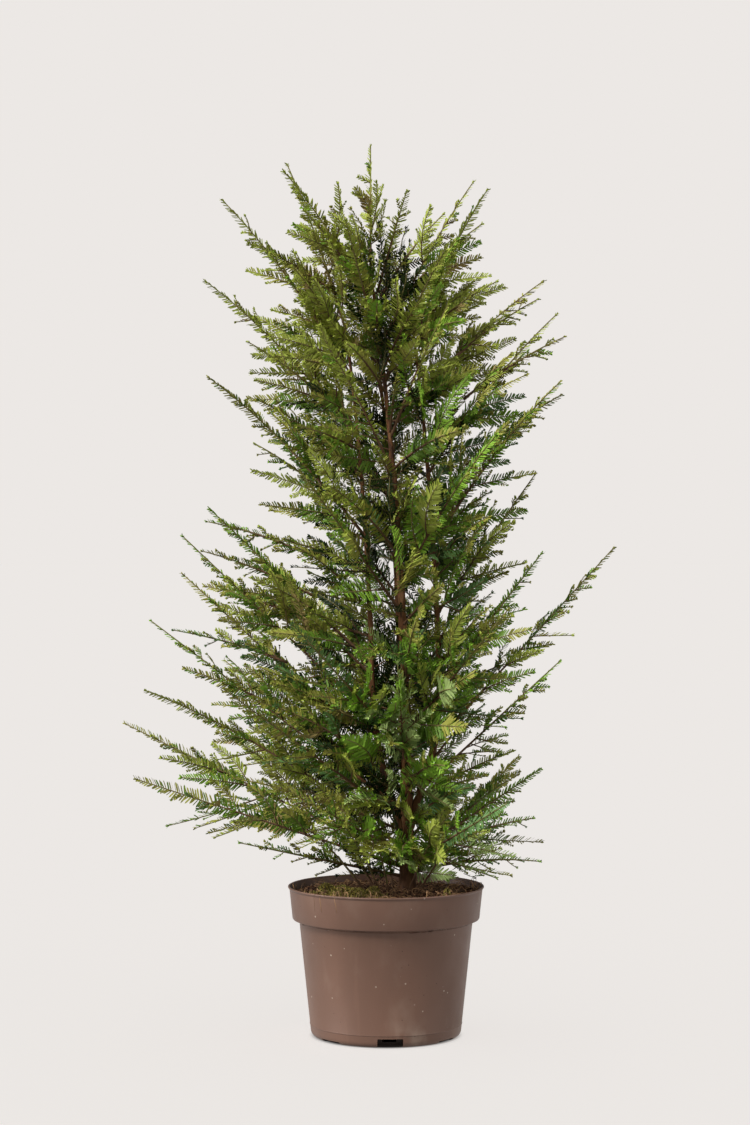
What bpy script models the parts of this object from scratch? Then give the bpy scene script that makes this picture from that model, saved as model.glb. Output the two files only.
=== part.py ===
"""A potted yew: an upright, many-stemmed garden shrub in a brown plastic nursery pot.

Metres, +Z up. The origin is the middle of the pot's flat underside, and the plant is seen from -Y in front.
"""

import math
import random
from typing import NamedTuple

import bmesh
import bpy
from mathutils import Matrix, Vector
from mathutils.bvhtree import BVHTree

# Pot
POT_HEIGHT = 0.213
RIM_RADIUS = 0.140
RIM_FOOT_RADIUS = 0.1335
RIM_BAND_HEIGHT = 0.047
LIP_FLARE = 0.0018
LIP_HEIGHT = 0.004
LIP_EDGE = 0.0006
BODY_TOP_RADIUS = 0.1235
STEP_DROP = 0.005
BAND_CORNER = 0.002
BODY_FOOT_RADIUS = 0.1075
FOOT_ROUNDING = 0.009
WALL = 0.002
POT_SIDES = 24
DRAIN_COUNT = 7
DRAIN_FIRST_AZIMUTH = -87.0
DRAIN_WIDTH = 0.036
DRAIN_HEIGHT = 0.013
DRAIN_LOW_HEIGHT = 0.0045
DRAIN_TALL = (0, 3, 4)
DRAIN_DEPTH = 0.026
DRAIN_SLOT_WIDTH = 0.020
DRAIN_SLOT_HEIGHT = 0.006
CUT_OVERREACH = 0.01

# Soil
SOIL_TOP = 0.199
SOIL_MOUND = 0.004
SHOULDER_SHARE = 0.6
SHOULDER_RISE = 0.7
SHOULDER_RADIUS = 0.077
CLEARANCE = 0.0003

# Trunk and stems
TRUNK_FOOT_X = 0.030
TRUNK_LEAN = -0.052
TRUNK_LEAN_POWER = 2.5
TRUNK_RING_POWER = 1.6
TRUNK_TAPER_POWER = 0.75
TRUNK_TOP = 1.090
TRUNK_RADIUS = 0.0105
TRUNK_TIP_RADIUS = 0.0020
FLARE = 0.0070
FLARE_HEIGHT = 0.014
FLARE_LOBES = 3
FLARE_LOBING = 0.35
FLARE_TURN = 0.6
TRUNK_SIDES = 9
TRUNK_RINGS = 13
STEM_SIDES = 6
STEM_RINGS = 9
STEM_RING_POWER = 1.25
STEM_RADIUS = 0.0062
STEM_TIP_RADIUS = 0.0019
STEM_SPREADS_BY = 0.40
STEM_HEAD_START = 0.08

# Boughs and shoots
BOUGH_SIDES = 5
BOUGH_RINGS = 4
BOUGH_RADIUS = 0.0038
BOUGH_TIP_RADIUS = 0.0018
CHILD_SHARE = 0.75
SHOOT_SIDES = 3
SHOOT_RINGS = 4
SHOOT_FOOT_RADIUS = 0.0026
SHOOT_TIP_RADIUS = 0.0007
SHOOT_COLLAR = 0.003
SHOOT_TWIG_SHARE = 0.80
ARCH = 0.10
ARCH_FROM = 0.60
LEVEL_RISE = 0.03
SWAY = 0.03
LINE_STEPS = 20

# Sprays of needles, each a toothed blade round its twig
SPRAY_PITCH = 0.040
SPRAY_START = 0.07
SPRAY_END = 0.74
SPRAY_ANGLE_LOW = 60.0
SPRAY_ANGLE_HIGH = 34.0
SPRAY_ANGLE_SPREAD = 7.0
SPRAY_LIFT = 65.0
SPRAY_SHARE = 0.62
SPRAY_FOOT_FACTOR = 1.10
SPRAY_FACTOR_FALL = 0.95
SPRAY_LENGTH_SPREAD = 0.12
SPRAY_LONGEST = 0.155
SPRAY_SHORTEST = 0.050
SPRAY_ROOT_SINK = 0.0016
TIP_SPRAY_LENGTH = 0.115
TIP_SPRAY_MOST = 0.5
FACE_UP = 0.3
FACE_OUT = 0.6
FACE_TURN = 60.0
NEEDLE_REACH = 0.0230
TIP_NEEDLE_REACH = 0.0175
BLADE_SLIMNESS = 0.26
BLADE_FOOT_WIDTH = 0.75
BLADE_WIDENING = 2.0
BLADE_NARROWING = 0.55
BLADE_NARROWING_POWER = 2.5
RIDGE_HEIGHT = 0.0026
RIDGE_FALL = 0.7
RIDGE_SETBACK = 0.0015
TEETH_START = 0.07
TEETH_SPAN = 0.80
NOTCH_SHARE = 0.42
TOOTH_LEAN = 0.0120
TOOTH_LEAN_FALL = 0.3
TOOTH_PITCH = 0.034
MOST_TEETH = 3
TEST_MARGIN = 0.0008
ATTEMPTS = 4
SHORTER_EACH_TIME = 0.12
SEED = 41
CREASE_ANGLE = 35.0


class Branch(NamedTuple):
    """One bough or shoot: where it leaves its stem, and how far out and how high its tip is."""

    name: str
    stem: str
    leaves_at: float
    azimuth: float
    reach: float
    tip_height: float
    bare: float


class Stem(NamedTuple):
    """One upright stem: where it forks from the trunk, its distance from the trunk, and its tip."""

    name: str
    forks_at: float
    azimuth: float
    offset: float
    top: float
    tip_azimuth: float
    tip_reach: float
    tip_height: float


# Azimuth 0 is to the right, 90 to the back, 180 to the left and -90 to the front.
STEMS = (
    Stem("stem_left", 0.262, 184.0, 0.046, 1.000, 176.0, 0.085, 1.242),
    Stem("stem_right", 0.285, 4.0, 0.050, 1.000, -4.0, 0.105, 1.206),
    Stem("stem_back", 0.308, 96.0, 0.050, 0.970, 70.0, 0.070, 1.165),
)

BRANCHES = (
    Branch("left_low", "trunk", 0.225, 190.0, 0.240, 0.278, 0.0),
    Branch("left_wide_low", "trunk", 0.238, 200.0, 0.400, 0.377, 0.26),
    Branch("left_wide", "trunk", 0.246, 170.0, 0.418, 0.440, 0.26),
    Branch("left_inner_front", "stem_left", 0.312, 214.0, 0.285, 0.500, 0.0),
    Branch("left_inner_back", "stem_left", 0.350, 154.0, 0.270, 0.530, 0.0),
    Branch("left_fan", "stem_left", 0.330, 187.0, 0.345, 0.592, 0.22),
    Branch("left_mid_low", "stem_left", 0.395, 172.0, 0.290, 0.659, 0.0),
    Branch("left_mid", "stem_left", 0.450, 192.0, 0.278, 0.712, 0.20),
    Branch("left_mid_high", "stem_left", 0.530, 174.0, 0.235, 0.752, 0.0),
    Branch("left_upper_low", "stem_left", 0.710, 184.0, 0.225, 0.938, 0.0),
    Branch("left_upper", "stem_left", 0.850, 176.0, 0.220, 1.078, 0.0),
    Branch("left_high", "stem_left", 0.940, 188.0, 0.185, 1.188, 0.0),
    Branch("left_top", "trunk", 1.030, 194.0, 0.135, 1.228, 0.0),
    Branch("right_low", "trunk", 0.230, -8.0, 0.190, 0.250, 0.0),
    Branch("right_wide_low", "trunk", 0.252, 14.0, 0.200, 0.375, 0.0),
    Branch("right_wide", "stem_right", 0.350, -12.0, 0.200, 0.535, 0.22),
    Branch("right_far", "stem_right", 0.415, 6.0, 0.262, 0.696, 0.22),
    Branch("right_mid", "stem_right", 0.500, -16.0, 0.150, 0.688, 0.0),
    Branch("right_mid_high", "stem_right", 0.600, 10.0, 0.145, 0.802, 0.0),
    Branch("right_upper_low", "stem_right", 0.700, -10.0, 0.182, 0.930, 0.0),
    Branch("right_upper", "stem_right", 0.800, 8.0, 0.188, 1.032, 0.0),
    Branch("right_high", "trunk", 0.980, -12.0, 0.135, 1.215, 0.0),
    Branch("front_low_left", "trunk", 0.256, -128.0, 0.270, 0.370, 0.20),
    Branch("front_low_right", "trunk", 0.244, -56.0, 0.240, 0.350, 0.0),
    Branch("front_shoot", "trunk", 0.290, -97.0, 0.120, 0.535, 0.42),
    Branch("front_mid_left", "trunk", 0.400, -136.0, 0.220, 0.590, 0.0),
    Branch("front_mid_right", "trunk", 0.430, -46.0, 0.200, 0.610, 0.0),
    Branch("front_upper_left", "trunk", 0.600, -140.0, 0.185, 0.800, 0.0),
    Branch("front_upper_right", "trunk", 0.640, -42.0, 0.175, 0.850, 0.0),
    Branch("front_high_left", "trunk", 0.800, -128.0, 0.165, 0.990, 0.0),
    Branch("front_high_right", "trunk", 0.850, -58.0, 0.150, 1.030, 0.0),
    Branch("front_top_left", "trunk", 0.960, -118.0, 0.110, 1.150, 0.0),
    Branch("front_top_right", "trunk", 0.930, -36.0, 0.110, 1.120, 0.0),
    Branch("back_low_left", "trunk", 0.262, 138.0, 0.320, 0.410, 0.22),
    Branch("back_low_right", "trunk", 0.236, 52.0, 0.280, 0.380, 0.22),
    Branch("back_mid_left", "stem_back", 0.430, 128.0, 0.240, 0.640, 0.0),
    Branch("back_mid_right", "stem_back", 0.470, 50.0, 0.220, 0.670, 0.0),
    Branch("back_upper", "stem_back", 0.650, 84.0, 0.180, 0.870, 0.0),
    Branch("back_high_left", "stem_back", 0.760, 140.0, 0.180, 0.990, 0.0),
    Branch("back_high_right", "stem_back", 0.860, 20.0, 0.250, 1.092, 0.0),
)
LEADER_TIP = 1.268


class Limb(NamedTuple):
    """A tapering limb: the points of its middle line, its radius at each, and the sides of its tube."""

    points: list
    radii: list
    sides: int
    lobes: int = 0

    def at_height(self, height):
        """The point, direction and radius where the middle line passes a height."""
        for a, b, ra, rb in zip(self.points, self.points[1:], self.radii, self.radii[1:]):
            if a.z <= height <= b.z:
                share = (height - a.z) / (b.z - a.z)
                return a.lerp(b, share), (b - a).normalized(), ra + (rb - ra) * share
        raise ValueError("no part of the limb is at that height")


def polar(azimuth, radius):
    angle = math.radians(azimuth)
    return Vector((radius * math.cos(angle), radius * math.sin(angle), 0.0))


def smooth_share(share):
    share = min(1.0, max(0.0, share))
    return share * share * (3 - 2 * share)


def material(name, colour, roughness):
    made = bpy.data.materials.new(name)
    made.use_nodes = True
    shader = made.node_tree.nodes["Principled BSDF"]
    shader.inputs["Base Color"].default_value = (*colour, 1.0)
    shader.inputs["Roughness"].default_value = roughness
    shader.inputs["Metallic"].default_value = 0.0
    return made


def add_object(name, mesh, surface):
    made = bpy.data.objects.new(name, mesh)
    mesh.materials.clear()
    mesh.materials.append(surface)
    bpy.context.scene.collection.objects.link(made)
    return made


def mesh_from(name, points, faces):
    mesh = bpy.data.meshes.new(name)
    mesh.from_pydata(points, [], faces)
    mesh.update()
    return mesh


def combine(base, others, operation):
    """Applies one Boolean of the other objects to the base, and removes them."""
    group = bpy.data.collections.new("helpers")
    for other in others:
        group.objects.link(other)
    modifier = base.modifiers.new(operation.lower(), "BOOLEAN")
    modifier.operation = operation
    modifier.solver = "EXACT"
    modifier.operand_type = "COLLECTION"
    modifier.collection = group
    graph = bpy.context.evaluated_depsgraph_get()
    mesh = bpy.data.meshes.new_from_object(base.evaluated_get(graph))
    base.modifiers.clear()
    base.data = mesh
    for other in others:
        bpy.data.objects.remove(other)
    bpy.data.collections.remove(group)


# Pot and soil


def turned(name, outline, sides):
    """A closed solid turned about Z from an outline that starts and ends on the axis, outer side first."""
    shape = bmesh.new()
    line = [shape.verts.new((radius, 0.0, height)) for radius, height in outline]
    edges = [shape.edges.new(pair) for pair in zip(line, line[1:])]
    bmesh.ops.spin(
        shape, geom=line + edges, cent=(0, 0, 0), axis=(0, 0, 1), steps=sides, angle=math.tau, use_merge=True
    )
    bmesh.ops.remove_doubles(shape, verts=shape.verts, dist=1e-6)
    bmesh.ops.recalc_face_normals(shape, faces=shape.faces)
    mesh = bpy.data.meshes.new(name)
    shape.to_mesh(mesh)
    shape.free()
    return mesh


def rounded_foot(radius, rounding, height, steps=2):
    """Points round the foot of a wall, from the flat underside up to the wall."""
    turns = [math.radians(90 * step / steps) for step in range(steps + 1)]
    return [
        (radius - rounding + rounding * math.sin(turn), height + rounding - rounding * math.cos(turn))
        for turn in turns
    ]


def pot_outside():
    band_foot = POT_HEIGHT - RIM_BAND_HEIGHT
    return [
        (0.0, 0.0),
        *rounded_foot(BODY_FOOT_RADIUS, FOOT_ROUNDING, 0.0),
        (BODY_TOP_RADIUS, band_foot - STEP_DROP),
        (RIM_FOOT_RADIUS - BAND_CORNER, band_foot),
        (RIM_FOOT_RADIUS, band_foot + BAND_CORNER),
        (RIM_RADIUS - LIP_FLARE, POT_HEIGHT - LIP_HEIGHT),
        (RIM_RADIUS, POT_HEIGHT - LIP_HEIGHT * 0.4),
        (RIM_RADIUS - LIP_EDGE, POT_HEIGHT),
    ]


def pot_inside(grow=0.0):
    """The wall's inner side from the lip down to the floor. A negative grow keeps clear of it."""
    band_foot = POT_HEIGHT - RIM_BAND_HEIGHT
    inner_foot = BODY_FOOT_RADIUS - WALL + grow
    return [
        (RIM_RADIUS - LIP_EDGE - WALL + grow, POT_HEIGHT),
        (RIM_FOOT_RADIUS - WALL + grow, band_foot + BAND_CORNER / 2),
        (BODY_TOP_RADIUS - WALL + grow, band_foot - STEP_DROP),
        (inner_foot, WALL - grow + FOOT_ROUNDING / 2),
        (inner_foot - FOOT_ROUNDING / 2, WALL - grow),
        (0.0, WALL - grow),
    ]


def drain_box(width, height, depth, azimuth, outer, base):
    """A box at the pot's foot, reaching inwards from an outer radius."""
    shape = bmesh.new()
    bmesh.ops.create_cube(shape, size=1.0)
    bmesh.ops.scale(shape, vec=(depth, width, height), verts=shape.verts)
    bmesh.ops.translate(shape, vec=(outer - depth / 2, 0.0, base + height / 2), verts=shape.verts)
    turn = Matrix.Rotation(math.radians(azimuth), 3, "Z")
    bmesh.ops.rotate(shape, cent=(0, 0, 0), matrix=turn, verts=shape.verts)
    mesh = bpy.data.meshes.new("drain")
    shape.to_mesh(mesh)
    shape.free()
    made = bpy.data.objects.new("drain", mesh)
    bpy.context.scene.collection.objects.link(made)
    return made


def drains():
    """The azimuth and height of each recess. The tall ones have slots, and the low ones only lift the foot."""
    found = []
    for step in range(DRAIN_COUNT):
        height = DRAIN_HEIGHT if step in DRAIN_TALL else DRAIN_LOW_HEIGHT
        found.append((DRAIN_FIRST_AZIMUTH + 360.0 * step / DRAIN_COUNT, height))
    return found


def foot_limit():
    """A solid as the pot's foot, but half a wall smaller. A recess's housing stays within it, under the rounding."""
    side = [(radius - WALL / 2, height) for radius, height in rounded_foot(BODY_FOOT_RADIUS, FOOT_ROUNDING, 0.0)]
    top = 2 * DRAIN_HEIGHT
    mesh = turned("limit", [(0.0, 0.0), *side, (BODY_FOOT_RADIUS - WALL / 2, top), (0.0, top)], POT_SIDES)
    made = bpy.data.objects.new("limit", mesh)
    bpy.context.scene.collection.objects.link(made)
    return made


def make_pot(surface):
    """The pot with its stepped rim band, and recesses round its foot, with slots into the pot."""
    pot = add_object("pot", turned("pot", pot_outside() + pot_inside(), POT_SIDES), surface)
    recess_inside = BODY_FOOT_RADIUS - DRAIN_DEPTH
    wall_middle = BODY_FOOT_RADIUS - WALL / 2
    outside, below = BODY_FOOT_RADIUS + 2 * CUT_OVERREACH, -CUT_OVERREACH
    slot_outer, slot_base = recess_inside + CUT_OVERREACH, DRAIN_HEIGHT / 3
    housings, recesses, slots = [], [], []
    for azimuth, tall in drains():
        depth, height = wall_middle - recess_inside + 2 * WALL, tall + WALL / 2
        housing = drain_box(DRAIN_WIDTH + 2 * WALL, height, depth, azimuth, wall_middle + WALL, WALL / 2)
        combine(housing, [foot_limit()], "INTERSECT")
        housings.append(housing)
        depth, height = DRAIN_DEPTH + 2 * CUT_OVERREACH, tall + CUT_OVERREACH
        recesses.append(drain_box(DRAIN_WIDTH, height, depth, azimuth, outside, below))
        if tall == DRAIN_HEIGHT:
            depth = 2 * CUT_OVERREACH
            slots.append(drain_box(DRAIN_SLOT_WIDTH, DRAIN_SLOT_HEIGHT, depth, azimuth, slot_outer, slot_base))
    combine(pot, housings, "UNION")
    combine(pot, recesses + slots, "DIFFERENCE")
    return pot


def make_soil(surface):
    """The potting soil that fills the pot, gently mounded, clear of the wall and of the drainage recesses."""
    wall = pot_inside(-CLEARANCE)
    lip, band_foot = wall[0], wall[1]
    share = (SOIL_TOP - band_foot[1]) / (lip[1] - band_foot[1])
    edge = (band_foot[0] + (lip[0] - band_foot[0]) * share, SOIL_TOP)
    side = [*reversed(wall[1:]), edge]
    top = [(edge[0] * SHOULDER_SHARE, SOIL_TOP + SOIL_MOUND * SHOULDER_RISE), (0.0, SOIL_TOP + SOIL_MOUND)]
    soil = add_object("soil", turned("soil", side + top, POT_SIDES), surface)
    depth = WALL + DRAIN_DEPTH + CUT_OVERREACH
    outer = BODY_FOOT_RADIUS - DRAIN_DEPTH - WALL - CLEARANCE + depth
    over = WALL + CLEARANCE + CUT_OVERREACH
    width = DRAIN_WIDTH + 2 * WALL + 2 * CLEARANCE
    base = -CUT_OVERREACH
    housings = [drain_box(width, tall + over, depth, turn, outer, base) for turn, tall in drains()]
    combine(soil, housings, "DIFFERENCE")
    return soil


def soil_height(x, y):
    """The height of the soil's surface under a point near the middle of the pot."""
    return SOIL_TOP + SOIL_MOUND * (1 - (1 - SHOULDER_RISE) * math.hypot(x, y) / SHOULDER_RADIUS)


# Limbs


def trunk_limb():
    """The trunk's middle line and radii: it flares at the soil, and leans to the left as it rises."""
    foot = soil_height(TRUNK_FOOT_X, 0.0) + CLEARANCE
    points, radii = [], []
    for ring in range(TRUNK_RINGS):
        share = (ring / (TRUNK_RINGS - 1)) ** TRUNK_RING_POWER
        height = foot + (TRUNK_TOP - foot) * share
        points.append(Vector((TRUNK_FOOT_X + TRUNK_LEAN * share**TRUNK_LEAN_POWER, 0.0, height)))
        taper = TRUNK_RADIUS + (TRUNK_TIP_RADIUS - TRUNK_RADIUS) * share**TRUNK_TAPER_POWER
        radii.append(taper + FLARE * math.exp(-(height - foot) / FLARE_HEIGHT))
    return Limb(points, radii, TRUNK_SIDES, FLARE_LOBES)


def stem_limb(stem, trunk):
    """A stem's middle line: out from the trunk's middle, then up beside it to its own tip."""
    points, radii = [], []
    for ring in range(STEM_RINGS):
        share = ring / (STEM_RINGS - 1)
        height = stem.forks_at + (stem.top - stem.forks_at) * share**STEM_RING_POWER
        trunk_point = trunk.at_height(height)[0]
        outward = stem.offset * smooth_share(share / STEM_SPREADS_BY + STEM_HEAD_START) if ring else 0.0
        points.append(trunk_point + polar(stem.azimuth, outward))
        radii.append(STEM_RADIUS + (STEM_TIP_RADIUS - STEM_RADIUS) * share)
    return Limb(points, radii, STEM_SIDES)


def curve_between(start, tip, arch, sway):
    """Points from start to tip on one curve that bows upwards by arch and sideways by sway of its length."""
    chord = tip - start
    side = Vector((-chord.y, chord.x, 0.0)).normalized()
    middle = (start + tip) / 2 + Vector((0, 0, 1)) * (arch * chord.length) + side * (sway * chord.length)
    points = []
    for step in range(LINE_STEPS + 1):
        share = step / LINE_STEPS
        points.append(start.lerp(middle, share).lerp(middle.lerp(tip, share), share))
    return points


def side_frame(direction):
    """Two directions across a limb: one level and to its left, and one upwards."""
    level = Vector((0, 0, 1)).cross(direction)
    level = level.normalized() if level.length > 1e-4 else Vector((0, 1, 0))
    return level, direction.cross(level).normalized()


def line_length(line):
    return sum((b - a).length for a, b in zip(line, line[1:]))


def tube(name, limb, grow=0.0):
    """A closed tube round a limb's line. With lobes its foot is level, and its flare is lobed like roots."""
    sides, lobes = limb.sides, limb.lobes
    last = len(limb.points) - 1
    across = side_frame((limb.points[1] - limb.points[0]).normalized())[0]
    points, faces = [], []
    for index, (centre, radius) in enumerate(zip(limb.points, limb.radii)):
        before, after = limb.points[max(0, index - 1)], limb.points[min(last, index + 1)]
        direction = (after - before).normalized()
        if index == 0 and lobes:
            direction = Vector((0, 0, 1))
        across = (across - direction * across.dot(direction)).normalized()
        up = direction.cross(across)
        for side in range(sides):
            turn = math.tau * side / sides
            bulge = max(0.0, radius / TRUNK_RADIUS - 1) if lobes else 0.0
            distance = radius * (1 + FLARE_LOBING * bulge * math.cos(lobes * turn + FLARE_TURN)) + grow
            points.append(centre + (across * math.cos(turn) + up * math.sin(turn)) * distance)
    for low in range(0, last * sides, sides):
        for side in range(sides):
            after = (side + 1) % sides
            faces.append((low + side, low + after, low + sides + after, low + sides + side))
    faces.append(tuple(reversed(range(sides))))
    faces.append(tuple(last * sides + side for side in range(sides)))
    return mesh_from(name, points, faces)


def limb_object(name, limb, surface, parent=None):
    """A limb. With a parent it starts inside that, and is cut to fit round it, clear of it."""
    made = add_object(name, tube(name, limb), surface)
    if parent:
        around = tube("around", parent, CLEARANCE / math.cos(math.pi / parent.sides))
        combine(made, [add_object("around", around, surface)], "DIFFERENCE")
    return made


# Sprays of needles


class Spray(NamedTuple):
    """A spray's root, its direction, the way its flat side faces, its length, and its needles' reach."""

    root: Vector
    direction: Vector
    facing: Vector
    length: float
    reach: float


def spray_blade(spray, grow=0.0):
    """A spray as a toothed blade: a low ridge along its twig, and teeth that point forwards on both sides.

    It returns points and faces. The underside is flat, and grow makes it fuller all round.
    """
    across = spray.direction.cross(spray.facing)
    teeth = max(2, min(MOST_TEETH, round(spray.length / TOOTH_PITCH)))
    reach = min(spray.reach, spray.length * BLADE_SLIMNESS) + grow

    def place(along, aside, high):
        return spray.root + spray.direction * along + across * aside + spray.facing * high

    def reach_at(share):
        widened = min(1.0, BLADE_FOOT_WIDTH + share * BLADE_WIDENING)
        return reach * widened * (1 - BLADE_NARROWING * share**BLADE_NARROWING_POWER)

    side, ridge = [], []
    for tooth in range(teeth + 1):
        share = TEETH_START + TEETH_SPAN * tooth / teeth
        along = spray.length * share
        ridge.append(place(along - RIDGE_SETBACK, 0.0, (RIDGE_HEIGHT + grow) * (1 - RIDGE_FALL * share)))
        side.append((along, NOTCH_SHARE * reach_at(share)))
        if tooth < teeth:
            side.append((along + TOOTH_LEAN * (1 - TOOTH_LEAN_FALL * share), reach_at(share)))
    outline = [place(0.0, 0.0, -grow)]
    outline += [place(along, aside, -grow) for along, aside in side]
    outline += [place(spray.length + grow, 0.0, -grow)]
    outline += [place(along, -aside, -grow) for along, aside in reversed(side)]
    count = len(outline)
    faces = [tuple(range(count))]
    for edge in range(count):
        along_right = min(edge, count - 1 - edge)
        faces.append((count + min(teeth, max(0, (along_right - 1) // 2)), (edge + 1) % count, edge))
    for step in range(teeth):
        right, left = 3 + 2 * step, count - 3 - 2 * step
        faces += [(count + step, count + step + 1, right), (count + step + 1, count + step, left)]
    return outline + ridge, faces


def point_along(line, share):
    """The point and direction at a share of a line's length."""
    lengths = [(b - a).length for a, b in zip(line, line[1:])]
    left = share * sum(lengths)
    for a, b, length in zip(line, line[1:], lengths):
        if left <= length:
            return a.lerp(b, left / length), (b - a).normalized()
        left -= length
    return line[-1].copy(), (line[-1] - line[-2]).normalized()


def spray_facing(point, direction, dice):
    """The way a spray's flat side faces: up and out to the light, with some turn of its own."""
    light = Vector((0, 0, FACE_UP)) + polar(math.degrees(math.atan2(point.y, point.x)), FACE_OUT)
    facing = (light - direction * light.dot(direction)).normalized()
    return Matrix.Rotation(math.radians(dice.uniform(-FACE_TURN, FACE_TURN)), 3, direction) @ facing


def tip_spray(line, dice):
    """The spray that ends a shoot, and reaches its tip."""
    whole = line_length(line)
    point = point_along(line, 1 - min(TIP_SPRAY_MOST, TIP_SPRAY_LENGTH / whole))[0]
    direction = (line[-1] - point).normalized()
    facing = spray_facing(point, direction, dice)
    return Spray(point, direction, facing, (line[-1] - point).length, TIP_NEEDLE_REACH)


def side_spray(line, share, side, dice, shorter):
    """A spray that leaves a shoot on one side, at a share of the shoot's length."""
    point, tangent = point_along(line, share)
    level, up = side_frame(tangent)
    lift = math.radians(dice.uniform(-SPRAY_LIFT, SPRAY_LIFT))
    outward = level * (side * math.cos(lift)) + up * math.sin(lift)
    angle = SPRAY_ANGLE_LOW + (SPRAY_ANGLE_HIGH - SPRAY_ANGLE_LOW) * share
    angle = math.radians(angle + dice.uniform(-SPRAY_ANGLE_SPREAD, SPRAY_ANGLE_SPREAD))
    direction = (tangent * math.cos(angle) + outward * math.sin(angle)).normalized()
    factor = SPRAY_FOOT_FACTOR - SPRAY_FACTOR_FALL * share
    spread = dice.uniform(1 - SPRAY_LENGTH_SPREAD, 1 + SPRAY_LENGTH_SPREAD)
    length = line_length(line) * SPRAY_SHARE * factor * spread
    length = min(SPRAY_LONGEST, max(SPRAY_SHORTEST, length)) * shorter
    facing = spray_facing(point, direction, dice)
    return Spray(point - direction * SPRAY_ROOT_SINK, direction, facing, length, NEEDLE_REACH)


class Neighbours:
    """The surfaces that a spray has to stay clear of, each with its node's name."""

    def __init__(self):
        self.trees = []

    def add(self, node, points, faces):
        low = Vector(min(p[axis] for p in points) for axis in range(3))
        high = Vector(max(p[axis] for p in points) for axis in range(3))
        self.trees.append((node, low, high, BVHTree.FromPolygons(points, faces)))

    def touched(self, node, points, faces):
        low = Vector(min(p[axis] for p in points) for axis in range(3))
        high = Vector(max(p[axis] for p in points) for axis in range(3))
        tree = None
        for other, other_low, other_high, other_tree in self.trees:
            apart = any(low[axis] > other_high[axis] or high[axis] < other_low[axis] for axis in range(3))
            if other == node or apart:
                continue
            tree = tree or BVHTree.FromPolygons(points, faces)
            if tree.overlap(other_tree):
                return True
        return False


def mesh_parts(mesh):
    return [v.co.copy() for v in mesh.vertices], [tuple(p.vertices) for p in mesh.polygons]


class Shoot(NamedTuple):
    """The living end of a branch: the line that its sprays grow on, and how it starts."""

    name: str
    line: list
    foot_radius: float
    heading: Vector
    parent: Limb
    seed: int


def tapering(line, foot, tip, sides):
    """A limb along a line, tapering evenly from a foot radius to a tip radius."""
    last = len(line) - 1
    return Limb(line, [foot + (tip - foot) * index / last for index in range(last + 1)], sides)


def shoot_limb(shoot):
    """The shoot's own three-sided twig, up to where its tip spray takes over."""
    shares = [SHOOT_TWIG_SHARE * ring / SHOOT_RINGS for ring in range(SHOOT_RINGS + 1)]
    line = [point_along(shoot.line, share)[0] for share in shares]
    if shoot.heading:
        line.insert(1, line[0] + shoot.heading * SHOOT_COLLAR)
    return tapering(line, shoot.foot_radius, SHOOT_TIP_RADIUS, SHOOT_SIDES)


def plan_branches(limbs):
    """The boughs as limbs with their parents, and every shoot that carries sprays, from the tables above."""
    boughs, shoots = {}, []
    for number, branch in enumerate(BRANCHES):
        dice = random.Random(SEED * 100 + number)
        stem = limbs[branch.stem]
        start, _, stem_radius = stem.at_height(branch.leaves_at)
        tip = start + polar(branch.azimuth, branch.reach)
        tip.z = branch.tip_height
        level = branch.tip_height < branch.leaves_at + LEVEL_RISE
        arch = ARCH if level or branch.leaves_at > ARCH_FROM else 0.0
        line = curve_between(start, tip, arch, SWAY * dice.uniform(-1, 1))
        seed = SEED * 1000 + number
        if not branch.bare:
            foot = min(SHOOT_FOOT_RADIUS, stem_radius * CHILD_SHARE)
            shoots.append(Shoot("foliage_" + branch.name, line, foot, None, stem, seed))
            continue
        steps = [point_along(line, branch.bare * ring / (BOUGH_RINGS - 1))[0] for ring in range(BOUGH_RINGS)]
        foot = min(BOUGH_RADIUS, stem_radius * CHILD_SHARE)
        boughs["bough_" + branch.name] = (tapering(steps, foot, BOUGH_TIP_RADIUS, BOUGH_SIDES), stem)
        heading = (steps[-1] - steps[-2]).normalized()
        shares = [branch.bare + (1 - branch.bare) * step / LINE_STEPS for step in range(LINE_STEPS)]
        rest = [point_along(line, share)[0] for share in shares]
        rest[0] = steps[-1] + heading * CLEARANCE
        rest.append(line[-1])
        shoots.append(Shoot("foliage_" + branch.name, rest, BOUGH_TIP_RADIUS, heading, None, seed))
    for number, stem in enumerate(STEMS):
        limb = limbs[stem.name]
        tip = limb.points[-1] + polar(stem.tip_azimuth, stem.tip_reach)
        tip.z = stem.tip_height
        name = stem.name.replace("stem", "foliage_top")
        shoots.append(tip_shoot(name, limb, tip, ARCH, SEED * 2000 + number))
    trunk = limbs["trunk"]
    tip = Vector((trunk.points[-1].x, 0.0, LEADER_TIP))
    shoots.append(tip_shoot("foliage_leader", trunk, tip, 0.0, SEED * 3000))
    return boughs, shoots


def tip_shoot(name, limb, tip, arch, seed):
    """The shoot that grows on from a limb's own tip."""
    heading = (limb.points[-1] - limb.points[-2]).normalized()
    line = curve_between(limb.points[-1] + heading * CLEARANCE, tip, arch, 0.0)
    return Shoot(name, line, limb.radii[-1], heading, None, seed)


def free_spray(shoot, rank, neighbours):
    """The spray of this rank along a shoot, shorter and turned where it would touch another node.

    It returns nothing if the spray still touches one after the last attempt.
    """
    count = spray_count(shoot)
    for attempt in range(ATTEMPTS):
        dice = random.Random(shoot.seed * 1000 + rank * 10 + attempt)
        if rank == 0:
            spray = tip_spray(shoot.line, dice)
        else:
            share = SPRAY_START + (SPRAY_END - SPRAY_START) * (count - rank) / (count - 1)
            side = 1 if rank % 2 else -1
            spray = side_spray(shoot.line, share, side, dice, 1 - SHORTER_EACH_TIME * attempt)
        if not neighbours.touched(shoot.name, *spray_blade(spray, TEST_MARGIN)):
            return spray
    return None


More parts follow.
